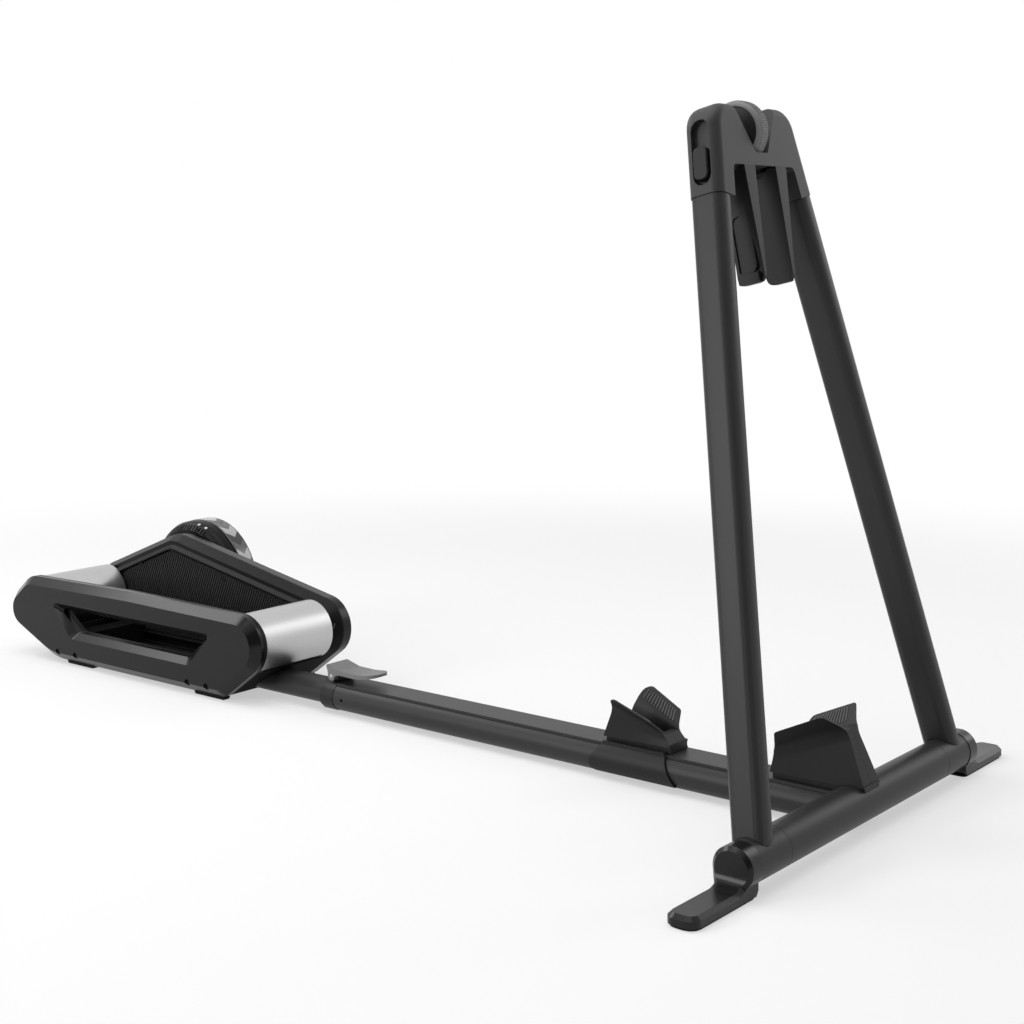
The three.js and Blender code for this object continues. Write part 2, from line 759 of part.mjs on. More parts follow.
function jawArm(side) {
  const low = jawBottom + jawLedge + seat;
  const high = jawTop - jawArmDrop;
  const floor = (height) => side * (gapAt(height) + jawSkin + seat);
  const [nutFoot, nutTop] = [dialHeight - nutRadius, dialHeight + nutRadius];
  const plan = outline([
    [floor(low), low, 0], [side * jawLedgeX, low, 0], [side * jawLedgeX, high, 0],
    [side * nutOuter, nutFoot, 0], [side * nutOuter, nutTop, 0], [side * nutInner, nutTop, 0],
    [side * nutInner, nutFoot, 0], [floor(high), high, 0],
  ]);
  const arm = alongY(plan, -jawArmFront, jawArmBack);
  const reach = side * (nutOuter + overrun);
  const nutWay = alongX(circle(dialBack, dialHeight, screwRadius + running), 0, reach);
  const rodWay = alongX(circle(0, rodHeight, rodRadius + running), 0, reach);
  const rounded = alongX(outline([
    [-jawArmFront, low, jawCorner], [jawArmBack, low, jawCorner], [jawArmBack, nutTop, 0],
    [-jawArmFront, nutTop, 0],
  ]), 0, reach);
  const [pocketFront, pocketBack] = [jawPocketRim - jawArmFront, jawArmBack - jawPocketRim];
  const pocketTop = low + jawPocketLength;
  const pocket = alongX(outline([
    [pocketFront, low - overrun, 0], [pocketBack, low - overrun, 0], [pocketBack, pocketTop, jawCorner],
    [pocketFront, pocketTop, jawCorner],
  ]), side * (jawLedgeX - jawPocketDepth), reach);
  return cut(arm.intersect(rounded), nutWay, rodWay, pocket);
}

sides.forEach(([name, side]) => {
  add(stand, `${name}_jaw_shoe`, shoe(side), headMoulding);
  add(stand, `${name}_jaw_arm`, jawArm(side), darkMoulding);
});

// Spine: a tube with round flanks and a flat strip along its top
const spineTop = spineAxisZ + spineHeight / 2;

function spineHalf(grow, groove) {
  const [halfWidth, radius] = [spineWidth / 2 + grow, spineCorner + grow];
  const [top, bottom] = [spineTop + grow, spineAxisZ - spineHeight / 2 - grow];
  const x = halfWidth - radius;
  const stripEdge = stripWidth / 2 + grow;
  const start = Math.acos((stripEdge + groove - x) / radius);
  const flank = [
    ...arc(x, top - radius, radius, start, 0, 2 * cornerSteps),
    ...arc(x, bottom + radius, radius, 0, -Math.PI / 2, 2 * cornerSteps),
  ];
  if (groove === 0) return [at(stripEdge, top), ...flank];
  const floor = flank[0].y - grooveDepth;
  return [at(stripEdge, top), at(stripEdge, floor), at(stripEdge + groove, floor), ...flank];
}

function spineOutline(grow, groove = 0) {
  const right = spineHalf(grow, groove);
  const left = right.map((p) => at(-p.x, p.y)).reverse();
  return [...right, ...left];
}

const spineHollow = box(
  spineWidth - 2 * spineWall, spineHeight - 2 * spineWall, 0, spineAxisZ, spineCorner - spineWall,
);
const stopHole = alongX(circle(spineEnd - stopHoleBefore, spineAxisZ, stopHoleRadius), -spineWidth, 0);
add(part, 'spine_tube', cut(
  alongY(spineOutline(0, grooveWidth), 0, spineEnd, [spineHollow]),
  alongX(crossbarClear, -spineWidth, spineWidth), stopHole,
), charcoal);

// Collar on the spine's end, with a spigot inside it that the inner tube slides in
const collarStart = spineEnd + seat;
const collarEnd = collarStart + collarLength;
const innerBore = box(
  innerWidth + 2 * running, innerHeight + 2 * running, 0, spineAxisZ, innerCorner + running,
);
const spigotGap = spineWall + seat;
const spigotOutline = box(
  spineWidth - 2 * spigotGap, spineHeight - 2 * spigotGap, 0, spineAxisZ, spineCorner - spigotGap,
);
const pinY = collarStart + pinBack;
const collarOutline = box(
  spineWidth + 2 * collarProud, spineHeight + 2 * collarProud, 0, spineAxisZ, spineCorner + collarProud,
);
const collarTop = spineTop + collarProud;
const spigot = alongY(spigotOutline, spineEnd - spigotLength, collarStart + collarProud);
const pinBoss = alongX([
  ...arc(pinY, pinHeight, pinBossRadius, 0, Math.PI, roundSteps / 2),
  at(pinY - pinBossRadius, collarTop - spineWall / 2), at(pinY + pinBossRadius, collarTop - spineWall / 2),
], -pinBossHalf, pinBossHalf);
add(part, 'spine_collar', cut(
  joined(alongY(collarOutline, collarStart, collarEnd), spigot, pinBoss),
  alongY(innerBore, spineEnd - spigotLength - overrun, collarEnd + overrun),
  alongX(circle(pinY, pinHeight, pinRadius + seat), -leverHalf, leverHalf),
  stopHole,
), darkMoulding);
const pinHalf = leverHalf + seat;
add(part, 'lever_pin', alongX(circle(pinY, pinHeight, pinRadius), -pinHalf, pinHalf), brightSteel);

// Cam lever: two cheeks on the pin and a dished blade that lies over the spine
function camLever() {
  const blade = [...leverUpper, ...leverLower].map(([y, z]) => [pinY + y, pinHeight + z, leverEdgeRadius]);
  const bar = alongX(outline(blade), -leverHalf, leverHalf);
  const eye = alongX(circle(pinY, pinHeight, leverEyeRadius), -leverHalf, leverHalf);
  const [rear, tip] = [pinY + leverUpper[0][0] + seat, pinY + leverUpper.at(-1)[0] - seat];
  const plan = alongZ(outline([
    [-leverHalf, tip, leverTipRadius], [leverHalf, tip, leverTipRadius], [leverHalf, rear, leverEdgeRadius],
    [-leverHalf, rear, leverEdgeRadius],
  ], 2 * cornerSteps), 0, 2 * pinHeight);
  const bossWay = alongX(
    circle(pinY, pinHeight, leverEyeRadius + 2 * running), -pinBossHalf - running, pinBossHalf + running,
  );
  const pinRound = circle(pinY, pinHeight, pinRadius + running);
  const pinWay = alongX(pinRound, -leverHalf - overrun, leverHalf + overrun);
  return cut(joined(bar, eye).intersect(plan), bossWay, pinWay);
}

add(part, 'cam_lever', camLever(), greyMoulding);

// Chocks: each is two mouldings that meet on a seam, with a stem in front and a sheet that folds out to a lip
const spinePath = alongY(spineOutline(seat), -crossbarRadius, spineEnd);
const crossbarPath = alongX(crossbarClear, -crossbarHalf, crossbarHalf);
const pointOf = ([x, y, z]) => new THREE.Vector3(x, y, z);

// The folded sheet, a little longer and higher than it will be, for its outline in side view to trim
function sheet(side, foot, fold, lip) {
  const along = (line, share) => pointOf(line[0]).lerp(pointOf(line[1]), share);
  const spare = 2 * overrun;
  const span = foot[1][1] - foot[0][1];
  const shares = Array.from({ length: sheetSteps + 1 }, (_, i) => (
    (((span + 2 * spare) * i) / sheetSteps - spare) / span
  ));
  const rings = shares.map((share) => {
    const [low, middle, high] = [foot, fold, lip].map((line) => along(line, share));
    const into = low.clone().sub(middle).setLength(chockFoldReach).add(middle);
    const out = high.clone().sub(middle).setLength(chockFoldReach).add(middle);
    const beyond = high.clone().sub(middle);
    beyond.setLength(beyond.length() + spare).add(middle);
    const bend = new THREE.QuadraticBezierCurve3(into, middle, out).getPoints(2 * cornerSteps);
    const outer = [low, ...bend, beyond];
    const inner = outer.map((p) => new THREE.Vector3(p.x - chockWall, p.y, p.z)).reverse();
    return [...outer, ...inner].map((p) => new THREE.Vector3(side * p.x, p.y, p.z));
  });
  return skinned(rings, (p) => at(p.x, p.z));
}

// The stem: a plate between the seam and the sheet's front edge, leaning with that edge
function stem(side, foot, fold, thickness) {
  const [base, top] = [foot[0], fold[0]];
  const plate = (shift) => [
    [seat / 2, base], [base[0] - seat, base], [top[0] - seat, top], [seat / 2, top],
  ].map(([x, [, y, z]]) => new THREE.Vector3(side * x, y + shift, z));
  return skinned([plate(0), plate(thickness)], (p) => at(p.x, p.z));
}

// The side view that trims a chock's half: up the stem and the lip's front edge, along the lip, down the rear
function sideView(side, foot, fold, lip, corners) {
  const radii = [0, 0, ...corners, 0];
  const view = [foot[0], fold[0], lip[0], lip[1], fold[1], foot[1]].map(([, y, z], i) => [y, z, radii[i]]);
  return alongX(outline(view, 2 * cornerSteps), side * seat / 2, side * crossbarHalf);
}

// A chock's half without its seat: the sheet, its stem, the rim at the sheet's foot and the base under the rim
function chockHalf(side, foot, fold, lip, corners, stemThickness, baseHalf, baseFoot) {
  const trimmed = sheet(side, foot, fold, lip).intersect(sideView(side, foot, fold, lip, corners));
  const plan = (half) => [
    at(side * seat / 2, foot[0][1]), at(side * half, foot[0][1]), at(side * half, foot[1][1]),
    at(side * seat / 2, foot[1][1]),
  ];
  const rim = alongZ(plan(foot[0][0]), foot[0][2], foot[0][2] + chockRim);
  const base = alongZ(plan(baseHalf), baseFoot, foot[0][2] + seat);
  return joined(trimmed, stem(side, foot, fold, stemThickness), rim, base);
}

function frontChock(side) {
  const half = chockHalf(
    side, frontFoot, frontFold, frontLip, frontLipCorners, frontStemThickness, frontBaseHalf, spineAxisZ,
  );
  return cut(half, spinePath, crossbarPath);
}

// The rear chock slides on the spine on a saddle, whose skirts are cut to shape in side view
function rearChock(side) {
  const half = chockHalf(
    side, rearFoot, rearFold, rearLip, rearLipCorners, rearStemThickness, rearBaseHalf, spineTop,
  );
  const saddle = alongY(spineOutline(chockPlay + skirtWall), skirtFrontBottom, skirtRearBottom);
  const saddleTop = spineTop + chockPlay + skirtWall;
  const view = alongX(outline([
    [skirtFrontBottom, skirtBottom, seat], [skirtRearBottom, skirtBottom, skirtCorner],
    [skirtRearBottom, spineAxisZ, skirtCorner], [skirtRearTop, saddleTop, 0], [skirtFrontTop, saddleTop, 0],
  ]), side * seat / 2, side * spineWidth);
  const path = alongY(spineOutline(chockPlay), skirtFrontBottom - overrun, skirtRearBottom + overrun);
  return cut(joined(half, saddle.intersect(view)), path);
}

sides.forEach(([name, side]) => {
  add(part, `front_chock_${name}`, frontChock(side), darkMoulding);
  add(part, `rear_chock_${name}`, rearChock(side), darkMoulding);
});

// Housing outlines
const drumAxes = [['front', frontDrumY], ['rear', rearDrumY]];
const tailY = rearDrumY + tailBack;
const bottomCircles = [
  [bottomFrontY, housingBottom + bottomCorner, bottomCorner, cornerSteps],
  [bottomRearY, housingBottom + bellyRadius, bellyRadius, 2 * cornerSteps],
  [tailY, drumAxisZ - tailDrop, tailRadius, noseSteps],
  [rearDrumY, drumAxisZ, noseRadius, 2 * cornerSteps],
];
const frontNose = [frontDrumY, drumAxisZ, noseRadius, noseSteps];
const crownY = (frontDrumY + rearDrumY) / 2;
const sideCircles = [
  ...bottomCircles, [crownY, sideCrownZ - sideCrownRadius, sideCrownRadius, 2 * cornerSteps], frontNose,
];
const driveCircles = [...bottomCircles, [apexY, apexZ - apexRadius, apexRadius, 2 * cornerSteps], frontNose];
const sideRing = (inset) => wrapped(sideCircles, inset);
const driveRing = (inset) => wrapped(driveCircles, inset);

function windowOutline(grow) {
  return outline([
    [windowBottomFront - grow, windowBottomZ - grow, windowCorner + grow],
    [windowBottomRear + grow, windowBottomZ - grow, windowCorner + grow],
    [windowTopRear + grow, windowTopZ + grow, windowCorner],
    [windowTopFront - grow, windowTopZ + grow, windowCorner],
  ]);
}

const windowCutter = tiers([
  [sideOuter - seat, windowOutline(windowBevel + seat)], [sideOuter + windowBevel, windowOutline(0)],
  [sideInner + overrun, windowOutline(0)],
]);
const axleHoles = (from, to) => drumAxes.map(([, y]) => (
  alongX(circle(y, drumAxisZ, axleRadius + seat), from, to)
));

// Left housing: a bevelled outer shell and a flat inner shell, with the window through both
const sideHollow = tiers([
  [sideOuter + shellWall + sideBevel / 2, sideRing(sideBevel)], [sideSplit + overrun, sideRing(shellWall)],
]);
const windowSleeve = tiers([
  [sideOuter, windowOutline(windowBevel + shellWall)], [sideSplit + 2 * overrun, windowOutline(shellWall)],
]);
const outerAxleBoss = drumAxes.map(([, y]) => alongX(
  circle(y, drumAxisZ, axleRadius + 2 * shellWall), sideOuter + shellWall, sideSplit,
));
const leftOuterShell = cut(
  joined(
    cut(
      tiers([[sideOuter, sideRing(sideBevel)], [sideOuter + sideBevel, sideRing(0)], [sideSplit, sideRing(0)]]),
      sideHollow.subtract(windowSleeve),
    ),
    ...outerAxleBoss,
  ),
  windowCutter, ...axleHoles(sideOuter + 2 * shellWall, sideSplit + overrun),
  ...sideScrewYs.map((y) => alongX(
    circle(y, sideScrewZ, sideScrewRadius), sideOuter - overrun, sideOuter + sideScrewDepth,
  )),
);
add(part, 'side_housing_outer', leftOuterShell, glossMoulding);
add(part, 'side_housing_inner', cut(
  tiers([
    [sideSplit + seat, sideRing(0)], [sideInner - sideInnerBevel, sideRing(0)],
    [sideInner, sideRing(sideInnerBevel)],
  ]),
  windowCutter, ...axleHoles(sideSplit - overrun, sideInner + overrun),
), darkMoulding);

// Drive housing: an inner shell with a stepped rim round a sunk panel, and an outer shell over the belt
const stubHoles = drumAxes.map(([, y]) => alongX(
  circle(y, drumAxisZ, stubRadius + 2 * running), driveInner - overrun, driveSplit,
));
const bearingSeat = circle(flywheelY, flywheelZ, flywheelBearingRadius + seat, roundSteps);
const beltWidthStart = driveSplit - pulleyWidth / 2;
const beltWidthEnd = beltWidthStart + pulleyWidth;
const panelFloor = driveInner + panelDepth;
const stepX = driveInner + rimStepDepth;
const panelEdge = panelInset + panelRidge;
const driveInnerShell = cut(
  tiers([
    [driveInner, driveRing(panelInset)], [stepX, driveRing(rimStepInset)],
    [stepX + seat, driveRing(rimBevelInset)], [driveSplit - rimFlat, driveRing(0)], [driveSplit, driveRing(0)],
  ]),
  tiers([[driveInner - seat, driveRing(panelEdge)], [panelFloor, driveRing(panelEdge + panelDraft)]]),
  tiers([
    [panelFloor + shellWall, driveRing(rimStepInset)], [driveSplit - rimFlat, driveRing(shellWall)],
    [driveSplit + overrun, driveRing(shellWall)],
  ]),
  ...stubHoles,
);
add(part, 'drive_housing_inner', driveInnerShell, darkMoulding);

const coverStart = driveOuter + seat;
const driveOuterShell = cut(
  joined(
    cut(
      tiers([
        [driveSplit + seat, driveRing(0)], [driveOuter - driveBevel, driveRing(0)],
        [driveOuter, driveRing(driveBevel)],
      ]),
      tiers([
        [driveSplit - overrun, driveRing(shellWall)], [driveOuter - driveBevel, driveRing(shellWall)],
        [driveOuter - shellWall, driveRing(driveBevel + shellWall)],
      ]),
    ),
    ...drumAxes.map(([, y]) => alongX(
      circle(y, drumAxisZ, axleRadius + 2 * shellWall), beltWidthEnd + 2 * running, driveOuter - shellWall / 2,
    )),
    alongX(circle(flywheelY, flywheelZ, flywheelBearingRadius + 2 * shellWall), beltWidthEnd + 2 * running,
      driveOuter - shellWall / 2),
  ),
  ...axleHoles(driveSplit - overrun, driveOuter - shellWall),
  alongX(bearingSeat, driveSplit - overrun, driveOuter + overrun),
  alongX(circle(inletY, inletZ, inletRadius + seat), driveOuter - shellWall - overrun, driveOuter + overrun),
);
add(part, 'drive_housing_outer', driveOuterShell, glossMoulding);

add(part, 'power_inlet', alongX(
  circle(inletY, inletZ, inletRadius), driveOuter + inletProud - inletLength, driveOuter + inletProud,
  [circle(inletY, inletZ, inletRadius / 2)],
), darkMoulding);

// Roller unit: the tube that slides in the spine, and a tray that follows the housings' belly under the drums
const tubeEnd = panBeamFront + panSocket;
const tubeHollow = box(
  innerWidth - 2 * innerWall, innerHeight - 2 * innerWall, 0, spineAxisZ, innerCorner - innerWall,
);
add(part, 'inner_tube', alongY(
  box(innerWidth, innerHeight, 0, spineAxisZ, innerCorner), innerFront, tubeEnd, [tubeHollow],
), charcoal);

const panLeft = sideInner + seat;
const panRight = driveInner - seat;
const trayCutter = alongX([
  at(crossbarAxisZ, panLipTop), at(tailY + tailRadius, panLipTop),
  at(tailY + tailRadius, 2 * sideCrownZ), at(crossbarAxisZ, 2 * sideCrownZ),
], panLeft - overrun, panRight + overrun);
const tray = cut(
  alongX(sideRing(0), panLeft, panRight), alongX(sideRing(panThickness), panLeft - overrun, panRight + overrun),
  trayCutter,
);
const beams = [[panBeamFront, panBeamTop], [panBeamRear, panRearBeamTop]].flatMap(([front, top]) => {
  const [middle, foot] = [front + panBeamDepth / 2, housingBottom + panThickness / 2];
  const beam = alongX(box(panBeamDepth, top - foot, middle, (top + foot) / 2), panLeft, panRight);
  const tongueDepth = panBeamDepth - 2 * panTongueMargin;
  const tongueHeight = top - panTongueMargin / 2 - panTongueBottom;
  const tongue = alongX(
    box(tongueDepth, tongueHeight, middle, panTongueBottom + tongueHeight / 2), panLeft, panelFloor - seat,
  );
  return [beam, tongue];
});
const tubeSocket = alongY(
  box(innerWidth + 2 * seat, innerHeight + 2 * seat, 0, spineAxisZ, innerCorner + seat), crossbarRadius,
  tubeEnd + seat,
);
const drumWays = drumAxes.map(([, y]) => alongX(
  circle(y, drumAxisZ, drumRadius + panDrumGap, bigRoundSteps), panLeft - overrun, panRight + overrun,
));
add(part, 'floor_pan', cut(joined(tray, ...beams), tubeSocket, ...drumWays), darkMoulding);

// Rubber pads under both housings
const pads = [
  ['side', (sideOuter + sideBevel + sideInner) / 2, sidePadWidth],
  ['drive', (driveSplit + driveOuter - driveBevel) / 2, drivePadWidth],
];
pads.forEach(([housing, x, width]) => {
  [['front', padFrontY], ['rear', padRearY]].forEach(([end, y]) => {
    const pad = alongX(outline([
      [y - padLength / 2 + padBevel, 0, 0], [y + padLength / 2 - padBevel, 0, 0],
      [y + padLength / 2, housingBottom - seat, 0], [y - padLength / 2, housingBottom - seat, 0],
    ]), x - width / 2, x + width / 2);
    add(part, `${housing}_pad_${end}`, pad, rubber);
  });
});

// Drums on fixed axles
const axleLeft = sideOuter + 2 * shellWall + seat;
const axleRight = driveOuter - shellWall - seat;
const capFit = drumRadius - drumWall - seat;
const stubEnd = beltWidthStart - seat;

function cap(y, outside, inside) {
  const bearingFloor = outside + Math.sign(inside - outside) * bearingWidth;
  const web = outside + Math.sign(inside - outside) * (capThickness - bearingWidth);
  return turned([
    [outside, bearingRadius + seat], [outside, capFit], [web, capFit], [web, capBossRadius + drumWall],
    [inside, capBossRadius], [inside, axleRadius + 2 * running],
    [bearingFloor + Math.sign(inside - outside) * seat, axleRadius + 2 * running],
    [bearingFloor + Math.sign(inside - outside) * seat, bearingRadius + seat],
  ], y, drumAxisZ, roundSteps);
}

drumAxes.forEach(([end, y]) => {
  const drum = alongX(
    circle(y, drumAxisZ, drumRadius, bigRoundSteps), drumLeft, drumRight,
    [circle(y, drumAxisZ, drumRadius - drumWall, bigRoundSteps)],
  );
  add(part, `${end}_drum`, drum, satinAluminium);
  add(part, `${end}_axle`, alongX(circle(y, drumAxisZ, axleRadius), axleLeft, axleRight), brightSteel);
  const capLeft = drumLeft + drumWall;
  const capRight = drumRight - drumWall;
  add(part, `${end}_cap_side`, cap(y, capLeft, capLeft + capThickness), darkMoulding);
  add(part, `${end}_cap_drive`, cap(y, capRight, capRight - capThickness), darkMoulding);
  const race = [circle(y, drumAxisZ, axleRadius + running)];
  add(part, `${end}_bearing_side`, alongX(
    circle(y, drumAxisZ, bearingRadius), capLeft + seat, capLeft + bearingWidth, race,
  ), brightSteel);
  add(part, `${end}_bearing_drive`, alongX(
    circle(y, drumAxisZ, bearingRadius), capRight - bearingWidth, capRight - seat, race,
  ), brightSteel);
  add(part, `${end}_pulley`, turned([
    [capRight + seat, axleRadius + 2 * running], [capRight + seat, stubRadius], [stubEnd, stubRadius],
    [beltWidthStart, pulleyRadius], [beltWidthEnd, pulleyRadius], [beltWidthEnd, axleRadius + 2 * running],
  ], y, drumAxisZ, bigRoundSteps), darkMoulding);
});

// One belt round both drum pulleys and the flywheel's
const beltCircles = (grow) => [
  [frontDrumY, drumAxisZ, pulleyRadius + grow, roundSteps / 2],
  [rearDrumY, drumAxisZ, pulleyRadius + grow, roundSteps / 2],
  [flywheelY, flywheelZ, flywheelPulleyRadius + grow, cornerSteps],
];
add(part, 'drive_belt', alongX(
  wrapped(beltCircles(running + beltThickness)), beltWidthStart + running, beltWidthEnd - running,
  [wrapped(beltCircles(running))],
), rubber);

// Flywheel: a heavy rim on a thin web, with a printed band round it, on a shaft with its pulley
const bandInner = flywheelInner + bandEdge;
const bandOuter = flywheelOuter - bandEdge;
const bandRadius = flywheelRadius - bandThickness;
const rimInnerRadius = bandRadius - flywheelRim;
const webLeft = flywheelInner + webThickness;
const webRight = webLeft + webThickness;
add(part, 'flywheel', turned([
  [flywheelInner, flywheelShaftRadius + seat], [flywheelInner, hubRadius], [webLeft, hubRadius + webThickness],
  [webLeft, rimInnerRadius - webThickness], [flywheelInner, rimInnerRadius],
  [flywheelInner, flywheelRadius - flywheelEdge], [bandInner - seat, flywheelRadius],
  [bandInner - seat, bandRadius - seat], [bandOuter + seat, bandRadius - seat],
  [bandOuter + seat, flywheelRadius],
  [flywheelOuter, flywheelRadius - flywheelEdge], [flywheelOuter, rimInnerRadius],
  [webRight, rimInnerRadius - webThickness], [webRight, hubRadius + webThickness],
  [flywheelOuter - webThickness, hubRadius], [flywheelOuter - webThickness, flywheelShaftRadius + seat],
], flywheelY, flywheelZ, wheelSteps), glossMoulding);
add(part, 'flywheel_band', turned([
  [bandInner, bandRadius], [bandInner, flywheelRadius - seat], [bandOuter, flywheelRadius - seat],
  [bandOuter, bandRadius],
], flywheelY, flywheelZ, wheelSteps), greyMoulding);
add(part, 'flywheel_shaft', turned([
  [beltWidthStart, 0], [beltWidthStart, flywheelPulleyRadius], [beltWidthEnd, flywheelPulleyRadius],
  [beltWidthEnd, flywheelShaftRadius], [flywheelOuter - webThickness, flywheelShaftRadius],
  [flywheelOuter - webThickness, 0],
], flywheelY, flywheelZ, bigRoundSteps), brightSteel);
add(part, 'flywheel_bearing', alongX(
  circle(flywheelY, flywheelZ, flywheelBearingRadius), beltWidthEnd + 2 * running, driveOuter + shellWall,
  [circle(flywheelY, flywheelZ, flywheelShaftRadius + running)],
), brightSteel);

// Vent cover between the housing and the flywheel, and the status lens in its shoulder
const coverConeEnd = coverStart + coverConeWidth;
const coverCrownEnd = coverConeEnd + coverCrownWidth;
const coverEnd = coverStart + coverLength;
const cover = turned([
  [coverStart, coverHole], [coverStart, coverBase], [coverConeEnd, coverShoulder],
  [coverCrownEnd, coverCrown], [coverEnd, coverRadius], [coverEnd, coverRadius - coverWall],
  [coverCrownEnd, coverCrown - coverWall], [coverConeEnd, coverShoulder - coverWall],
  [coverStart + coverWall, coverBase - coverWall], [coverStart + coverWall, coverHole],
], flywheelY, flywheelZ, wheelSteps);
const vents = Array.from({ length: ventCount }, (_, i) => {
  const placing = new THREE.Matrix4().makeTranslation(coverStart + ventMargin, flywheelY, flywheelZ);
  const angle = ventFirst + ((ventLast - ventFirst) * i) / (ventCount - 1);
  placing.multiply(new THREE.Matrix4().makeRotationX(angle));
  const slot = box(coverConeWidth - 2 * ventMargin, ventWidth, coverConeWidth / 2 - ventMargin, 0);
  return extruded(slot, coverRadius, [], placing).intersect(turned([
    [coverStart - seat, coverBase - 2 * coverWall], [coverStart - seat, coverRadius], [coverEnd, coverRadius],
    [coverEnd, coverBase - 2 * coverWall],
  ], flywheelY, flywheelZ, wheelSteps));
});
const lensX = coverConeEnd + lensBack;
const lensPath = (angleShare, radius, from, to) => {
  const angle = angleShare * 2 * Math.PI;
  const placing = new THREE.Matrix4().makeTranslation(lensX, flywheelY, flywheelZ);
  placing.multiply(new THREE.Matrix4().makeRotationX(angle));
  placing.multiply(new THREE.Matrix4().setPosition(0, 0, from));
  return extruded(circle(0, 0, radius, roundSteps / 2), to - from, [], placing);
};
const lensSkin = THREE.MathUtils.mapLinear(lensX, coverConeEnd, coverCrownEnd, coverShoulder, coverCrown);
const lensTop = lensSkin + lensHeight;
const lensBase = coverBase - coverWall;
const lensWebHalf = lensRadius + lensEdge;
const lensWeb = turned([
  [lensX - lensWebHalf, lensBase - lensSink], [lensX - lensWebHalf, lensBase], [lensX + lensWebHalf, lensBase],
  [lensX + lensWebHalf, lensBase - lensSink],
], flywheelY, flywheelZ, wheelSteps);
const lensSpan = 2 * Math.PI * (lensAngleShares[1] - lensAngleShares[0] + 2 * lensMargin);
const lensStart = Math.PI / 2 + 2 * Math.PI * (lensAngleShares[0] - lensMargin);
const wedgeReach = 2 * coverRadius;
const lensWedge = alongX([
  at(flywheelY, flywheelZ), ...arc(flywheelY, flywheelZ, wedgeReach, lensStart, lensStart + lensSpan, 1),
], coverStart, coverEnd);
const lenses = lensAngleShares.map((share) => lensPath(share, lensRadius, lensBase - lensSink / 2, lensTop));
add(part, 'status_lens', joined(lensWeb.intersect(lensWedge), ...lenses), clearLens);
add(part, 'vent_cover', cut(
  cover, ...vents,
  ...lensAngleShares.map((share) => lensPath(share, lensRadius + seat, lensBase - lensSink, lensTop + overrun)),
), darkMoulding);

// The origin: the middle of the footprint, on the floor
const frontEnd = -footDiscRadius;
const rearEnd = tailY + tailRadius;
part.position.y = -(frontEnd + rearEnd) / 2;

export default part;
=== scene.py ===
"""Looks for the bike rollers: finishes, fine detail, floor, light and the camera of the photograph."""

import json
import math

import bmesh
import bpy
from mathutils import Matrix, Vector

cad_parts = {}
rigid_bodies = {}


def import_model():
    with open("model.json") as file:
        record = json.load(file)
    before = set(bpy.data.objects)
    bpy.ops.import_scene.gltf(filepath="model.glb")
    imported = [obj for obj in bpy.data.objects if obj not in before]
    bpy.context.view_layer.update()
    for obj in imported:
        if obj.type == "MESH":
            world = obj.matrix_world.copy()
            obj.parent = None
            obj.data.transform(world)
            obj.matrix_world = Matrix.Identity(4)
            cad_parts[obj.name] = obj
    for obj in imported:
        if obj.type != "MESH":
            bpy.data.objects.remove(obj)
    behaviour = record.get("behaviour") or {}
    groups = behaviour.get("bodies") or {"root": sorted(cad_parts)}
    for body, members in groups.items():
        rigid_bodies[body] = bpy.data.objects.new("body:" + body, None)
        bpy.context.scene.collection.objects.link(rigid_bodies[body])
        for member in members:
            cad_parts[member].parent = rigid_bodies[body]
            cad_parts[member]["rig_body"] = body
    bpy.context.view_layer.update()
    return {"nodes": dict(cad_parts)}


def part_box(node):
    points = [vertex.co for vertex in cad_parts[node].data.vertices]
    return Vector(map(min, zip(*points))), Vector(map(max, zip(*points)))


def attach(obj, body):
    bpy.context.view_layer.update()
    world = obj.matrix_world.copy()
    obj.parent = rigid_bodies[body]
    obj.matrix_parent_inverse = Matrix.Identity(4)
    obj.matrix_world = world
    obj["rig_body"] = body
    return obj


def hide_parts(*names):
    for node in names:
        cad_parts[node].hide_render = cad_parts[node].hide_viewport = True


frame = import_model()
nodes = frame["nodes"]

MM = 0.001
WELD = 0.01 * MM
FLAT = math.radians(0.4)
CROSSBAR_Y = sum(corner.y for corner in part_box("crossbar_tube")) / 2

# Materials


class Signal:
    """A socket that can be used in a sum, a product or a comparison."""

    def __init__(self, finish, socket):
        self.finish = finish
        self.socket = socket

    def maths(self, operation, *values):
        return self.finish.node("ShaderNodeMath", {"operation": operation}, *values)

    def __add__(self, other):
        return self.maths("ADD", self, other)

    def __radd__(self, other):
        return self.maths("ADD", other, self)

    def __sub__(self, other):
        return self.maths("SUBTRACT", self, other)

    def __rsub__(self, other):
        return self.maths("SUBTRACT", other, self)

    def __mul__(self, other):
        return self.maths("MULTIPLY", self, other)

    def __rmul__(self, other):
        return self.maths("MULTIPLY", other, self)

    def __truediv__(self, other):
        return self.maths("DIVIDE", self, other)

    def __mod__(self, other):
        return self.maths("FLOORED_MODULO", self, other)

    def __gt__(self, other):
        return self.maths("GREATER_THAN", self, other)

    def __lt__(self, other):
        return self.maths("LESS_THAN", self, other)

    def __abs__(self):
        return self.maths("ABSOLUTE", self)


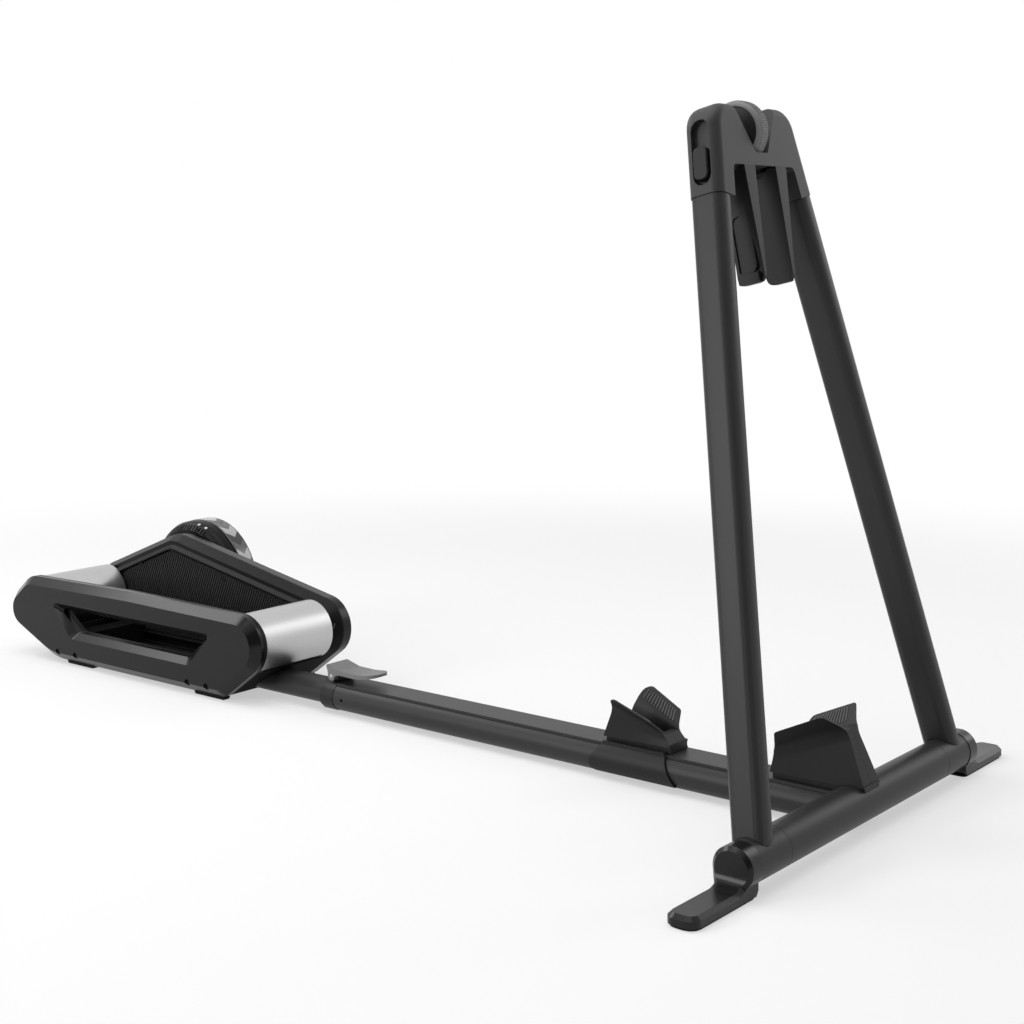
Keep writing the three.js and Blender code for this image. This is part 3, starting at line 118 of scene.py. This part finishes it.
class Finish:
    """A material under construction. Values given to node() are links, numbers, colours or vectors."""

    def __init__(self, name):
        self.material = bpy.data.materials.new(name)
        self.material.use_nodes = True
        self.tree = self.material.node_tree
        self.shader = self.tree.nodes["Principled BSDF"]

    def plug(self, value, socket):
        if isinstance(value, Signal):
            self.tree.links.new(value.socket, socket)
        elif value is not None:
            socket.default_value = value

    def node(self, kind, settings=None, *values, out=0, **named):
        made = self.tree.nodes.new(kind)
        for key, setting in (settings or {}).items():
            setattr(made, key, setting)
        for socket, value in zip(made.inputs, values):
            self.plug(value, socket)
        for key, value in named.items():
            self.plug(value, made.inputs[key.replace("_", " ")])
        return Signal(self, made.outputs[out])

    def place(self):
        return self.node("ShaderNodeTexCoord", out="Object")

    def axes(self):
        split = self.tree.nodes.new("ShaderNodeSeparateXYZ")
        self.plug(self.place(), split.inputs[0])
        return [Signal(self, socket) for socket in split.outputs]

    def noise(self, scale, detail=2.0, stretch=(1.0, 1.0, 1.0)):
        vector = self.node("ShaderNodeMapping", None, self.place(), Scale=stretch)
        return self.node("ShaderNodeTexNoise", None, Vector=vector, Scale=scale, Detail=detail)

    def mixed(self, factor, low, high):
        mix = self.tree.nodes.new("ShaderNodeMix")
        mix.data_type = "RGBA"
        for socket, value in ((mix.inputs[0], factor), (mix.inputs[6], low), (mix.inputs[7], high)):
            self.plug(value, socket)
        return Signal(self, mix.outputs[2])

    def span(self, value, low, high):
        """Turns a 0 to 1 value into low to high."""
        return value * (high - low) + low

    def bump(self, height, strength, distance):
        return self.node("ShaderNodeBump", None, Height=height, Strength=strength, Distance=distance)

    def done(self, **inputs):
        for key, value in inputs.items():
            self.plug(value, self.shader.inputs[key.replace("_", " ")])
        return self.material


def grey(level):
    return (level, level, level, 1.0)


def shaded(colour, factor):
    return tuple(channel * factor for channel in colour[:3]) + (1.0,)


def painted(name, level, roughness, speckle=0.10, grain=900.0, relief=0.02, coat=0.0, shine=0.5):
    """Paint or a moulding: a fine grain with its relief in mm, and a slow drift of tone and gloss."""
    finish = Finish(name)
    drift = finish.noise(9.0, 3.0)
    fine = finish.noise(grain, 2.0)
    tone = finish.mixed(drift, shaded(grey(level), 1 - speckle), shaded(grey(level), 1 + speckle))
    return finish.done(
        Base_Color=tone,
        Roughness=finish.span(drift * 0.5 + fine * 0.5, roughness - 0.05, roughness + 0.05),
        Normal=finish.bump(fine, 0.35, relief * MM),
        Coat_Weight=coat,
        Coat_Roughness=0.12,
        Specular_IOR_Level=shine,
    )


def metal(name, level, roughness, stretch):
    """Bare metal with fine turning or drawing lines, which run where stretch is small."""
    finish = Finish(name)
    lines = finish.noise(700.0, 3.0, stretch)
    drift = finish.noise(14.0, 2.0)
    return finish.done(
        Base_Color=finish.mixed(lines, shaded(grey(level), 0.93), shaded(grey(level), 1.05)),
        Metallic=1.0,
        Roughness=finish.span(lines * 0.6 + drift * 0.4, roughness - 0.06, roughness + 0.06),
        Normal=finish.bump(lines, 0.10, 0.015 * MM),
    )


def chevron_print(name, axis_box, chevrons=12):
    """The flywheel's printed band: chevrons in three greys, pointing round the wheel."""
    low, high = axis_box
    middle, radius = (low + high) / 2, (high.z - low.z) / 2
    finish = Finish(name)
    x, y, z = finish.axes()
    turn = finish.node("ShaderNodeMath", {"operation": "ARCTAN2"}, z - middle.z, y - middle.y)
    pitch = 2 * math.pi / chevrons
    reach = abs(x - middle.x) / radius
    share = ((turn + reach) % pitch) / pitch
    fine = finish.noise(1100.0)
    pale = finish.mixed(share > 0.36, grey(0.40), grey(0.012))
    tone = finish.mixed(share > 0.70, pale, grey(0.085))
    return finish.done(
        Base_Color=tone,
        Roughness=finish.span(fine, 0.26, 0.36),
        Normal=finish.bump(fine, 0.2, 0.01 * MM),
        Coat_Weight=0.4,
        Coat_Roughness=0.1,
        Specular_IOR_Level=0.4,
    )


tube_paint = painted("tube_paint", 0.026, 0.40, shine=0.20, relief=0.012)
head_black = painted("head_black", 0.026, 0.48, grain=1400.0, relief=0.04, shine=0.26)
jaw_black = painted("jaw_black", 0.008, 0.44, grain=1300.0, relief=0.03, shine=0.2)
chock_black = painted("chock_black", 0.012, 0.46, grain=1500.0, relief=0.04, shine=0.2)
collar_black = painted("collar_black", 0.010, 0.42, grain=1300.0, relief=0.02, shine=0.22)
housing_gloss = painted("housing_gloss", 0.005, 0.20, speckle=0.05, relief=0.004, shine=0.22)
housing_satin = painted("housing_satin", 0.007, 0.36, grain=1300.0, relief=0.02, shine=0.10)
foot_gloss = painted("foot_gloss", 0.006, 0.24, speckle=0.05, relief=0.006, shine=0.26)
pan_black = painted("pan_black", 0.005, 0.85, grain=1300.0, shine=0.08)
rib_black = painted("rib_black", 0.045, 0.32, grain=1300.0, shine=0.5)
rubber_black = painted("rubber_black", 0.008, 0.85, grain=1800.0, relief=0.08, shine=0.15)
lever_grey = painted("lever_grey", 0.15, 0.46, grain=1500.0, shine=0.3)
dial_grey = painted("dial_grey", 0.19, 0.5, grain=1500.0, shine=0.3)
drum_aluminium = metal("drum_aluminium", 0.50, 0.38, (1.0, 0.02, 0.02))
bright_steel = metal("bright_steel", 0.5, 0.28, (1.0, 0.02, 0.02))
flywheel_iron = painted("flywheel_iron", 0.014, 0.30, coat=0.2)
band_print = chevron_print("band_print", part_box("flywheel_band"))
lens_white = painted("lens_white", 0.85, 0.25, speckle=0.02)

# Each node's finish, and its edges: the angle from which an edge is rounded, and the rounding's width in mm
looks = {
    "crossbar_tube": (tube_paint, 35, 0.6),
    "pivot_shaft": (bright_steel, 35, 0.5),
    "spine_tube": (tube_paint, 50, 0.35),
    "inner_tube": (tube_paint, 35, 0.5),
    "spine_collar": (collar_black, 35, 0.5),
    "lever_pin": (bright_steel, 35, 0.4),
    "cam_lever": (lever_grey, 30, 0.9),
    "head_casing": (head_black, 40, 1.2),
    "release_slider": (jaw_black, 35, 1.4),
    "guide_rod": (bright_steel, 35, 0.4),
    "dial_core": (jaw_black, 35, 0.5),
    "lead_screw": (bright_steel, 35, 0.5),
    "floor_pan": (pan_black, 35, 0.8),
    "side_housing_outer": (housing_gloss, 30, 1.6),
    "side_housing_inner": (housing_satin, 30, 0.8),
    "drive_housing_inner": (housing_satin, 30, 0.9),
    "drive_housing_outer": (housing_gloss, 30, 1.6),
    "power_inlet": (pan_black, 35, 0.4),
    "drive_belt": (rubber_black, 60, 0.2),
    "vent_cover": (housing_satin, 50, 0.3),
    "status_lens": (lens_white, 50, 0.2),
    "flywheel": (flywheel_iron, 30, 0.6),
    "flywheel_band": (band_print, 60, 0.2),
    "flywheel_shaft": (bright_steel, 35, 0.4),
    "flywheel_bearing": (bright_steel, 35, 0.4),
}
for side in ("left", "right"):
    looks[f"{side}_hub"] = (tube_paint, 35, 0.6)
    looks[f"{side}_leg"] = (tube_paint, 50, 0.4)
    looks[f"{side}_foot"] = (foot_gloss, 30, 1.6)
    looks[f"{side}_sole"] = (rubber_black, 35, 0.5)
    looks[f"{side}_jaw_shoe"] = (jaw_black, 35, 0.8)
    looks[f"{side}_jaw_arm"] = (jaw_black, 35, 0.8)
    looks[f"front_chock_{side}"] = (chock_black, 38, 0.9)
    looks[f"rear_chock_{side}"] = (chock_black, 38, 0.9)
for end in ("front", "rear"):
    looks[f"{end}_drum"] = (drum_aluminium, 35, 0.6)
    looks[f"{end}_axle"] = (bright_steel, 35, 0.4)
    looks[f"{end}_pulley"] = (pan_black, 35, 0.5)
    looks[f"side_pad_{end}"] = (rubber_black, 30, 0.6)
    looks[f"drive_pad_{end}"] = (rubber_black, 30, 0.6)
    for housing in ("side", "drive"):
        looks[f"{end}_cap_{housing}"] = (pan_black, 35, 0.5)
        looks[f"{end}_bearing_{housing}"] = (bright_steel, 35, 0.4)

# Pieces from the frame's own solids


def linked(name, mesh):
    piece = bpy.data.objects.new(name, mesh)
    bpy.context.scene.collection.objects.link(piece)
    return piece


def baked(piece):
    """Replaces a piece's mesh by its shape with modifiers, and removes them."""
    graph = bpy.context.evaluated_depsgraph_get()
    mesh = bpy.data.meshes.new_from_object(piece.evaluated_get(graph))
    piece.modifiers.clear()
    piece.data = mesh
    return piece


def softened(piece, sharp, width, segments=2):
    """Rounds the edges sharper than an angle in degrees by a width in mm, and shades the rest smooth."""
    shape = bmesh.new()
    shape.from_mesh(piece.data)
    bmesh.ops.remove_doubles(shape, verts=shape.verts, dist=WELD)
    bmesh.ops.dissolve_limit(
        shape, angle_limit=FLAT, verts=shape.verts, edges=shape.edges, delimit={"NORMAL"}
    )
    for face in shape.faces:
        face.smooth = True
    shape.to_mesh(piece.data)
    shape.free()
    bevel = piece.modifiers.new("edge", "BEVEL")
    bevel.width = width * MM
    bevel.segments = segments
    bevel.limit_method = "ANGLE"
    bevel.angle_limit = math.radians(sharp)
    bevel.miter_outer = "MITER_ARC"
    bevel.use_clamp_overlap = True
    weighted = piece.modifiers.new("shading", "WEIGHTED_NORMAL")
    weighted.keep_sharp = True
    return baked(piece)


def settled(piece, material, body):
    """Gives a piece its one material and the body that it moves with."""
    piece.data.materials.clear()
    piece.data.materials.append(material)
    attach(piece, body)
    return piece


def round_topped(piece):
    """Closes the cut across the top of a foot's disc, where the solid's outline begins and ends."""
    half_width, depth, slack = 4.4 * MM, 6 * MM, 1 * MM
    shape = bmesh.new()
    shape.from_mesh(piece.data)
    bmesh.ops.remove_doubles(shape, verts=shape.verts, dist=WELD)
    top = max(vertex.co.z for vertex in shape.verts)

    def near_top():
        strip = [v for v in shape.verts if abs(v.co.y - CROSSBAR_Y) < half_width and v.co.z > top - depth]
        face = max(abs(vertex.co.x) for vertex in strip)
        return [v for v in strip if v.co.z > top - slack or abs(v.co.x) > face - slack]

    back = min(abs(vertex.co.x) for vertex in near_top())
    for way in (-1, 1):
        line = [v for v in near_top() if (v.co.y - CROSSBAR_Y) * way > 0 and abs(v.co.x) < back + slack]
        corner = max(line, key=lambda v: abs(v.co.y - CROSSBAR_Y)).co.copy()
        for vertex in line:
            vertex.co = corner
    bmesh.ops.remove_doubles(shape, verts=shape.verts, dist=WELD)
    near = near_top()
    inside = [face for face in shape.faces if all(vertex in near for vertex in face.verts)]
    bmesh.ops.delete(shape, geom=inside, context="FACES_ONLY")
    rows = [
        sorted([v for v in near if (v.co.y - CROSSBAR_Y) * way > 0], key=lambda v: abs(v.co.x))
        for way in (-1, 1)
    ]
    pairs = list(zip(*rows))
    for before, after in zip(pairs, pairs[1:]):
        shape.faces.new((before[0], before[1], after[1], after[0]))
    bmesh.ops.recalc_face_normals(shape, faces=shape.faces)
    shape.to_mesh(piece.data)
    shape.free()


def dressed(node, material, sharp, width):
    """A CAD node's twin with rounded edges and smooth shading, riding where the node rides."""
    piece = linked(f"{node}_skin", nodes[node].data.copy())
    piece.data.name = piece.name
    if node.endswith("_foot"):
        round_topped(piece)
    softened(piece, sharp, width)
    settled(piece, material, nodes[node]["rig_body"])
    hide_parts(node)
    return piece


for name, look in looks.items():
    dressed(name, *look)

# Fine detail that repeats, made by Geometry Nodes


class Growth:
    """A Geometry Nodes tree with named number inputs, which is applied to a piece."""

    def __init__(self, name, *sizes):
        self.tree = bpy.data.node_groups.new(name, "GeometryNodeTree")
        faces = self.tree.interface
        faces.new_socket("Geometry", in_out="INPUT", socket_type="NodeSocketGeometry")
        self.sockets = {
            size: faces.new_socket(size, in_out="INPUT", socket_type="NodeSocketFloat").identifier
            for size in sizes
        }
        self.sockets["Material"] = faces.new_socket(
            "Material", in_out="INPUT", socket_type="NodeSocketMaterial"
        ).identifier
        faces.new_socket("Geometry", in_out="OUTPUT", socket_type="NodeSocketGeometry")
        self.given = self.tree.nodes.new("NodeGroupInput")

    def node(self, kind, settings=None, **named):
        made = self.tree.nodes.new(kind)
        for key, setting in (settings or {}).items():
            setattr(made, key, setting)
        for key, value in named.items():
            socket = made.inputs[key.replace("_", " ")]
            if isinstance(value, bpy.types.NodeSocket):
                self.tree.links.new(value, socket)
            else:
                socket.default_value = value
        return made

    def close(self, geometry):
        whole = self.node("GeometryNodeRealizeInstances", Geometry=geometry)
        coated = self.node(
            "GeometryNodeSetMaterial", Geometry=whole.outputs[0], Material=self.given.outputs["Material"]
        )
        output = self.tree.nodes.new("NodeGroupOutput")
        self.tree.links.new(coated.outputs[0], output.inputs[0])

    def grown(self, piece, **values):
        modifier = piece.modifiers.new("growth", "NODES")
        modifier.node_group = self.tree
        for key, value in values.items():
            modifier[self.sockets[key]] = value
        return baked(piece)


def rib_growth():
    """A round bar of a given radius along each run of edges."""
    growth = Growth("ribs", "Radius")
    runs = growth.node("GeometryNodeMeshToCurve", Mesh=growth.given.outputs["Geometry"])
    section = growth.node(
        "GeometryNodeCurvePrimitiveCircle", Resolution=8, Radius=growth.given.outputs["Radius"]
    )
    bars = growth.node(
        "GeometryNodeCurveToMesh", Curve=runs.outputs[0], Profile_Curve=section.outputs[0], Fill_Caps=True
    )
    growth.close(bars.outputs[0])
    return growth


def screw_growth():
    """A screw head with a hexagonal recess at each point, facing along X."""
    growth = Growth("screws", "Radius", "Height")
    radius, height = growth.given.outputs["Radius"], growth.given.outputs["Height"]
    half = growth.node("ShaderNodeMath", {"operation": "MULTIPLY"})
    growth.tree.links.new(radius, half.inputs[0])
    half.inputs[1].default_value = 0.5
    head = growth.node("GeometryNodeMeshCylinder", Vertices=24, Radius=radius, Depth=height)
    recess = growth.node("GeometryNodeMeshCylinder", Vertices=6, Radius=half.outputs[0], Depth=height)
    lifted = growth.node("GeometryNodeTransform", Geometry=recess.outputs["Mesh"])
    raise_by = growth.node("ShaderNodeCombineXYZ", Z=half.outputs[0])
    growth.tree.links.new(raise_by.outputs[0], lifted.inputs["Translation"])
    drilled = growth.node("GeometryNodeMeshBoolean", {"operation": "DIFFERENCE"})
    growth.tree.links.new(head.outputs["Mesh"], drilled.inputs[0])
    growth.tree.links.new(lifted.outputs[0], drilled.inputs[1])
    placed = growth.node(
        "GeometryNodeInstanceOnPoints", Points=growth.given.outputs["Geometry"],
        Instance=drilled.outputs[0], Rotation=(0, -math.pi / 2, 0),
    )
    growth.close(placed.outputs[0])
    return growth


ribs = rib_growth()
screws = screw_growth()


def ribbed(name, runs, radius, material, body):
    """One piece with a round rib along each run of points."""
    points, edges = [], []
    for run in runs:
        first = len(points)
        points += [tuple(point) for point in run]
        edges += [(i, i + 1) for i in range(first, len(points) - 1)]
    mesh = bpy.data.meshes.new(name)
    mesh.from_pydata(points, edges, [])
    piece = ribs.grown(linked(name, mesh), Radius=radius * MM, Material=material)
    for polygon in piece.data.polygons:
        polygon.use_smooth = True
    return settled(piece, material, body)


def screwed(name, places, radius, height, material, body):
    mesh = bpy.data.meshes.new(name)
    mesh.from_pydata([tuple(place) for place in places], [], [])
    piece = screws.grown(linked(name, mesh), Radius=radius * MM, Height=height * MM, Material=material)
    return settled(piece, material, body)


def spot(x, y, z):
    """A place in mm, with y counted from the crossbar's axis, as the part's source counts it."""
    return Vector((x * MM, y * MM + CROSSBAR_Y, z * MM))


# The dial's rim: the frame's solid a little slimmer, with a knurl of fine ridges across it


def dial_rim(ridges=84, ridge=0.8, sunk=0.9, half_width=6.2):
    low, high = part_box("dial_rim")
    centre, radius = (low + high) / 2, (high.z - low.z) / 2
    piece = linked("dial_rim_skin", nodes["dial_rim"].data.copy())
    floor = radius - sunk * MM
    for vertex in piece.data.vertices:
        arm = Vector((0, vertex.co.y - centre.y, vertex.co.z - centre.z))
        if arm.length > floor:
            vertex.co -= arm.normalized() * (arm.length - floor)
    softened(piece, 35, 0.8)
    settled(piece, dial_grey, "dial")
    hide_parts("dial_rim")
    runs = []
    for i in range(ridges):
        turn = 2 * math.pi * i / ridges
        arm = Vector((0, math.cos(turn), math.sin(turn))) * (radius - ridge * MM)
        runs.append([centre + arm + Vector((x * MM, 0, 0)) for x in (-half_width, half_width)])
    ribbed("dial_knurl", runs, ridge, dial_grey, "dial")


# The drive housing's sunk panel: leaning ribs between the drums, and two screws


def ring_contains(y, z, circles, inset):
    """Whether a point lies inside the belt-like outline round circles, given in order against the clock."""
    for i, (y1, z1, r1) in enumerate(circles):
        y2, z2, r2 = circles[(i + 1) % len(circles)]
        way = math.atan2(z2 - z1, y2 - y1) - math.acos((r1 - r2) / math.hypot(y2 - y1, z2 - z1))
        if (y - y1) * math.cos(way) + (z - z1) * math.sin(way) > r1 - inset:
            return False
    return True


def panel_ribs(pitch=5.4, lean=24.0, face_x=80.2, radius=1.35):
    start, length, foot_z, height, shortest = 960, 640, 30, 160, 6
    wall, drum_clear = 27.5, 40
    circles = [
        (1040, 31.5, 26), (1440, 115.5, 110), (1538, 80, 39),
        (1508, 92, 48), (1334, 146, 60), (993, 92, 48),
    ]
    beams = [(1044, 1086, 58), (1418, 1460, 48)]
    drums = [(993, 92), (1508, 92)]

    def open_at(y, z):
        covered = any(low < y < high and z < top for low, high, top in beams)
        turned = any(math.hypot(y - a, z - b) < drum_clear for a, b in drums)
        return ring_contains(y, z, circles, wall) and not covered and not turned

    runs = []
    slope = math.tan(math.radians(lean))
    for i in range(int(length / pitch)):
        foot = start + i * pitch
        heights = [foot_z + step for step in range(height)]
        kept = [z for z in heights if open_at(foot - (z - foot_z) * slope, z)]
        groups = []
        for z in kept:
            if groups and z - groups[-1][-1] == 1:
                groups[-1].append(z)
            else:
                groups.append([z])
        for group in groups:
            if len(group) > shortest:
                ends = (group[0], group[-1])
                runs.append([spot(face_x, foot - (z - foot_z) * slope, z) for z in ends])
    ribbed("panel_ribs", runs, radius, rib_black, "roller_unit")
    places = [spot(79.6, 1424.7, 150.5), spot(79.6, 1209.3, 145.6)]
    screwed("panel_screws", places, 4.2, 2.4, collar_black, "roller_unit")


def side_screws():
    places = [spot(-84.6, y, 20) for y in (1061, 1106, 1393, 1441)]
    screwed("side_screws", places, 4.6, 2.4, pan_black, "roller_unit")


# The chocks' flaps: ribs across the inner faces


def flap_ribs(name, fold, lip, wall, count, spread, reach, radius, body):
    fold, lip = [[Vector(point) for point in line] for line in (fold, lip)]

    def on_flap(side, along, across):
        low = fold[0].lerp(fold[1], along)
        high = lip[0].lerp(lip[1], along)
        place = low.lerp(high, across)
        return spot(side * (place.x - wall), place.y, place.z)

    for label, side in (("left", -1), ("right", 1)):
        runs = []
        for i in range(count):
            along = spread[0] + (spread[1] - spread[0]) * i / (count - 1)
            low, high = reach(along)
            runs.append([on_flap(side, along, low + (high - low) * step / 4) for step in range(5)])
        ribbed(f"{name}_ribs_{label}", runs, radius, rib_black, body)


# The strip that closes the floor pan against the drive housing's bevelled foot


def pan_strip(steps=60):
    """A wedge along the housings' belly, from the pan's edge to just short of the bevel."""
    section = [(74.75, 0.4), (74.75, 9.0), (80.0, 9.0), (93.5, 0.4)]
    belly, tail = (1440, 115.5, 110), (1538, 80, 39)
    down, tail_end = -math.pi / 2, 0.3
    belly_z = belly[1] - belly[2]
    way = math.atan2(tail[1] - belly[1], tail[0] - belly[0])
    way -= math.acos((belly[2] - tail[2]) / math.hypot(tail[0] - belly[0], tail[1] - belly[1]))
    walk = [((y, belly_z), down) for y in (1084.5, 1417.5, 1440)]
    for (y, z, radius), first, last in ((belly, down, way), (tail, way, tail_end)):
        for step in range(1, steps // 3):
            turn = first + (last - first) * step / (steps // 3)
            walk.append(((y + radius * math.cos(turn), z + radius * math.sin(turn)), turn))
    shape = bmesh.new()
    rings = []
    for (y, z), turn in walk:
        inwards = (-math.cos(turn), -math.sin(turn))
        rings.append([
            shape.verts.new(spot(x, y + inset * inwards[0], z + inset * inwards[1]))
            for x, inset in section
        ])
    for before, after in zip(rings, rings[1:]):
        for i in range(len(section)):
            j = (i + 1) % len(section)
            shape.faces.new((before[i], before[j], after[j], after[i]))
    shape.faces.new(rings[0])
    shape.faces.new(rings[-1])
    bmesh.ops.recalc_face_normals(shape, faces=shape.faces)
    mesh = bpy.data.meshes.new("pan_strip")
    shape.to_mesh(mesh)
    shape.free()
    settled(linked("pan_strip", mesh), pan_black, "roller_unit")


dial_rim()
panel_ribs()
side_screws()
pan_strip()
flap_ribs(
    "front_chock", fold=((11, 10, 120), (25, 98, 83)), lip=((42.8, 27.2, 139.5), (48, 86, 112)),
    wall=4.1, count=13, spread=(0.16, 0.86), reach=lambda along: (0.30, 0.90), radius=0.9,
    body="base",
)
flap_ribs(
    "rear_chock", fold=((14.5, 262, 70), (27, 334, 96)), lip=((36.5, 271.5, 89.5), (45.2, 328, 114.5)),
    wall=4.1, count=12, spread=(0.12, 0.88),
    reach=lambda along: (0.30, 0.90 - 0.2 * max(0.0, along - 0.6)), radius=0.9,
    body="rear_chock",
)

# Floor, light and camera


DARK_END = (-0.72, -0.66, 0.21)
DARK_EDGE, DARK_HEART = 0.70, 0.95


def unlit_share(tree):
    """1 for what the camera, a mirror or glass sees, and 0 for what lights the scene."""
    path = tree.nodes.new("ShaderNodeLightPath")
    seen = None
    for ray in ("Is Camera Ray", "Is Glossy Ray", "Is Transmission Ray"):
        if seen is None:
            seen = path.outputs[ray]
            continue
        either = tree.nodes.new("ShaderNodeMath")
        either.operation = "MAXIMUM"
        tree.links.new(seen, either.inputs[0])
        tree.links.new(path.outputs[ray], either.inputs[1])
        seen = either.outputs[0]
    return seen


def studio_world(light=0.38, dim=0.12):
    """White behind the object, with an unlit end of the studio that shows in its reflections alone."""
    world = bpy.data.worlds.new("studio")
    bpy.context.scene.world = world
    world.use_nodes = True
    tree = world.node_tree
    tree.nodes.clear()
    mix = tree.nodes.new("ShaderNodeMixShader")
    tree.links.new(unlit_share(tree), mix.inputs[0])
    backgrounds = []
    for socket, strength in ((mix.inputs[1], light), (mix.inputs[2], 1.0)):
        background = tree.nodes.new("ShaderNodeBackground")
        background.inputs["Color"].default_value = (1, 1, 1, 1)
        background.inputs["Strength"].default_value = strength
        tree.links.new(background.outputs[0], socket)
        backgrounds.append(background)
    place = tree.nodes.new("ShaderNodeTexCoord")
    towards = tree.nodes.new("ShaderNodeVectorMath")
    towards.operation = "DOT_PRODUCT"
    tree.links.new(place.outputs["Generated"], towards.inputs[0])
    towards.inputs[1].default_value = DARK_END
    fade = tree.nodes.new("ShaderNodeMapRange")
    fade.interpolation_type = "SMOOTHSTEP"
    tree.links.new(towards.outputs["Value"], fade.inputs["Value"])
    spans = {"From Min": DARK_EDGE, "From Max": DARK_HEART, "To Min": 0.0, "To Max": 1.0 - dim}
    for socket, value in spans.items():
        fade.inputs[socket].default_value = value
    path = tree.nodes.new("ShaderNodeLightPath")
    mirrored = tree.nodes.new("ShaderNodeMath")
    mirrored.operation = "MULTIPLY"
    tree.links.new(fade.outputs[0], mirrored.inputs[0])
    tree.links.new(path.outputs["Is Glossy Ray"], mirrored.inputs[1])
    left = tree.nodes.new("ShaderNodeMath")
    left.operation = "SUBTRACT"
    left.inputs[0].default_value = 1.0
    tree.links.new(mirrored.outputs[0], left.inputs[1])
    tree.links.new(left.outputs[0], backgrounds[1].inputs["Strength"])
    output = tree.nodes.new("ShaderNodeOutputWorld")
    tree.links.new(mix.outputs[0], output.inputs[0])


def studio_floor(size=60.0, near=1.3, far=2.6, near_share=0.5):
    """A pale floor that keeps the object's shadow and turns plain white away from it."""
    mesh = bpy.data.meshes.new("floor")
    corners = [(-size, -size, 0), (size, -size, 0), (size, size, 0), (-size, size, 0)]
    mesh.from_pydata(corners, [], [(0, 1, 2, 3)])
    floor = linked("floor", mesh)
    finish = Finish("floor_paper")
    tree = finish.tree
    distance = finish.node("ShaderNodeVectorMath", {"operation": "LENGTH"}, finish.place(), out="Value")
    away = finish.node(
        "ShaderNodeMapRange", {"interpolation_type": "SMOOTHSTEP"}, distance, near, far, near_share, 1.0
    )
    finish.done(Base_Color=grey(0.90), Roughness=0.9, Specular_IOR_Level=0.0)
    glow = tree.nodes.new("ShaderNodeEmission")
    glow.inputs["Strength"].default_value = 1.0
    mix = tree.nodes.new("ShaderNodeMixShader")
    finish.plug(Signal(finish, unlit_share(tree)) * away, mix.inputs[0])
    tree.links.new(finish.shader.outputs[0], mix.inputs[1])
    tree.links.new(glow.outputs[0], mix.inputs[2])
    tree.links.new(mix.outputs[0], tree.nodes["Material Output"].inputs[0])
    mesh.materials.append(finish.material)


def softbox(name, place, aim, width, height, power):
    light = bpy.data.lights.new(name, "AREA")
    light.shape = "RECTANGLE"
    light.size = width
    light.size_y = height
    light.energy = power
    lamp = bpy.data.objects.new(name, light)
    lamp.location = place
    lamp.rotation_euler = (Vector(aim) - Vector(place)).to_track_quat("-Z", "Y").to_euler()
    bpy.context.scene.collection.objects.link(lamp)


def photo_camera():
    right = Vector((0.63598554, -0.77162977, -0.01048229))
    up = Vector((0.12342022, 0.08829699, 0.98841848))
    ahead = Vector((0.76176757, 0.62991359, -0.15139032))
    data = bpy.data.cameras.new("photo_camera")
    data.sensor_width = 36.0
    data.lens = 58.06
    data.clip_start = 0.05
    data.clip_end = 300.0
    camera = bpy.data.objects.new("photo_camera", data)
    bpy.context.scene.collection.objects.link(camera)
    turn = Matrix((right, up, -ahead)).transposed().to_4x4()
    camera.matrix_world = Matrix.Translation(spot(-1686.39, -874.03, 664.08)) @ turn
    bpy.context.scene.camera = camera


studio_world()
studio_floor()
softbox("top_light", (-0.5, -0.1, 3.0), aim=(0, 0, 0), width=2.4, height=2.4, power=42)
softbox("back_light", (-0.85, 2.9, 2.7), aim=(0, 0.2, 0.1), width=2.4, height=1.3, power=46)
softbox("side_light", (2.6, -1.6, 1.9), aim=(0, -0.4, 0.3), width=1.0, height=2.0, power=14)
softbox("left_light", (-3.4, 1.5, 1.3), aim=(0, 0, 0.3), width=1.2, height=2.0, power=55)
photo_camera()
bpy.context.scene.view_settings.view_transform = "Standard"
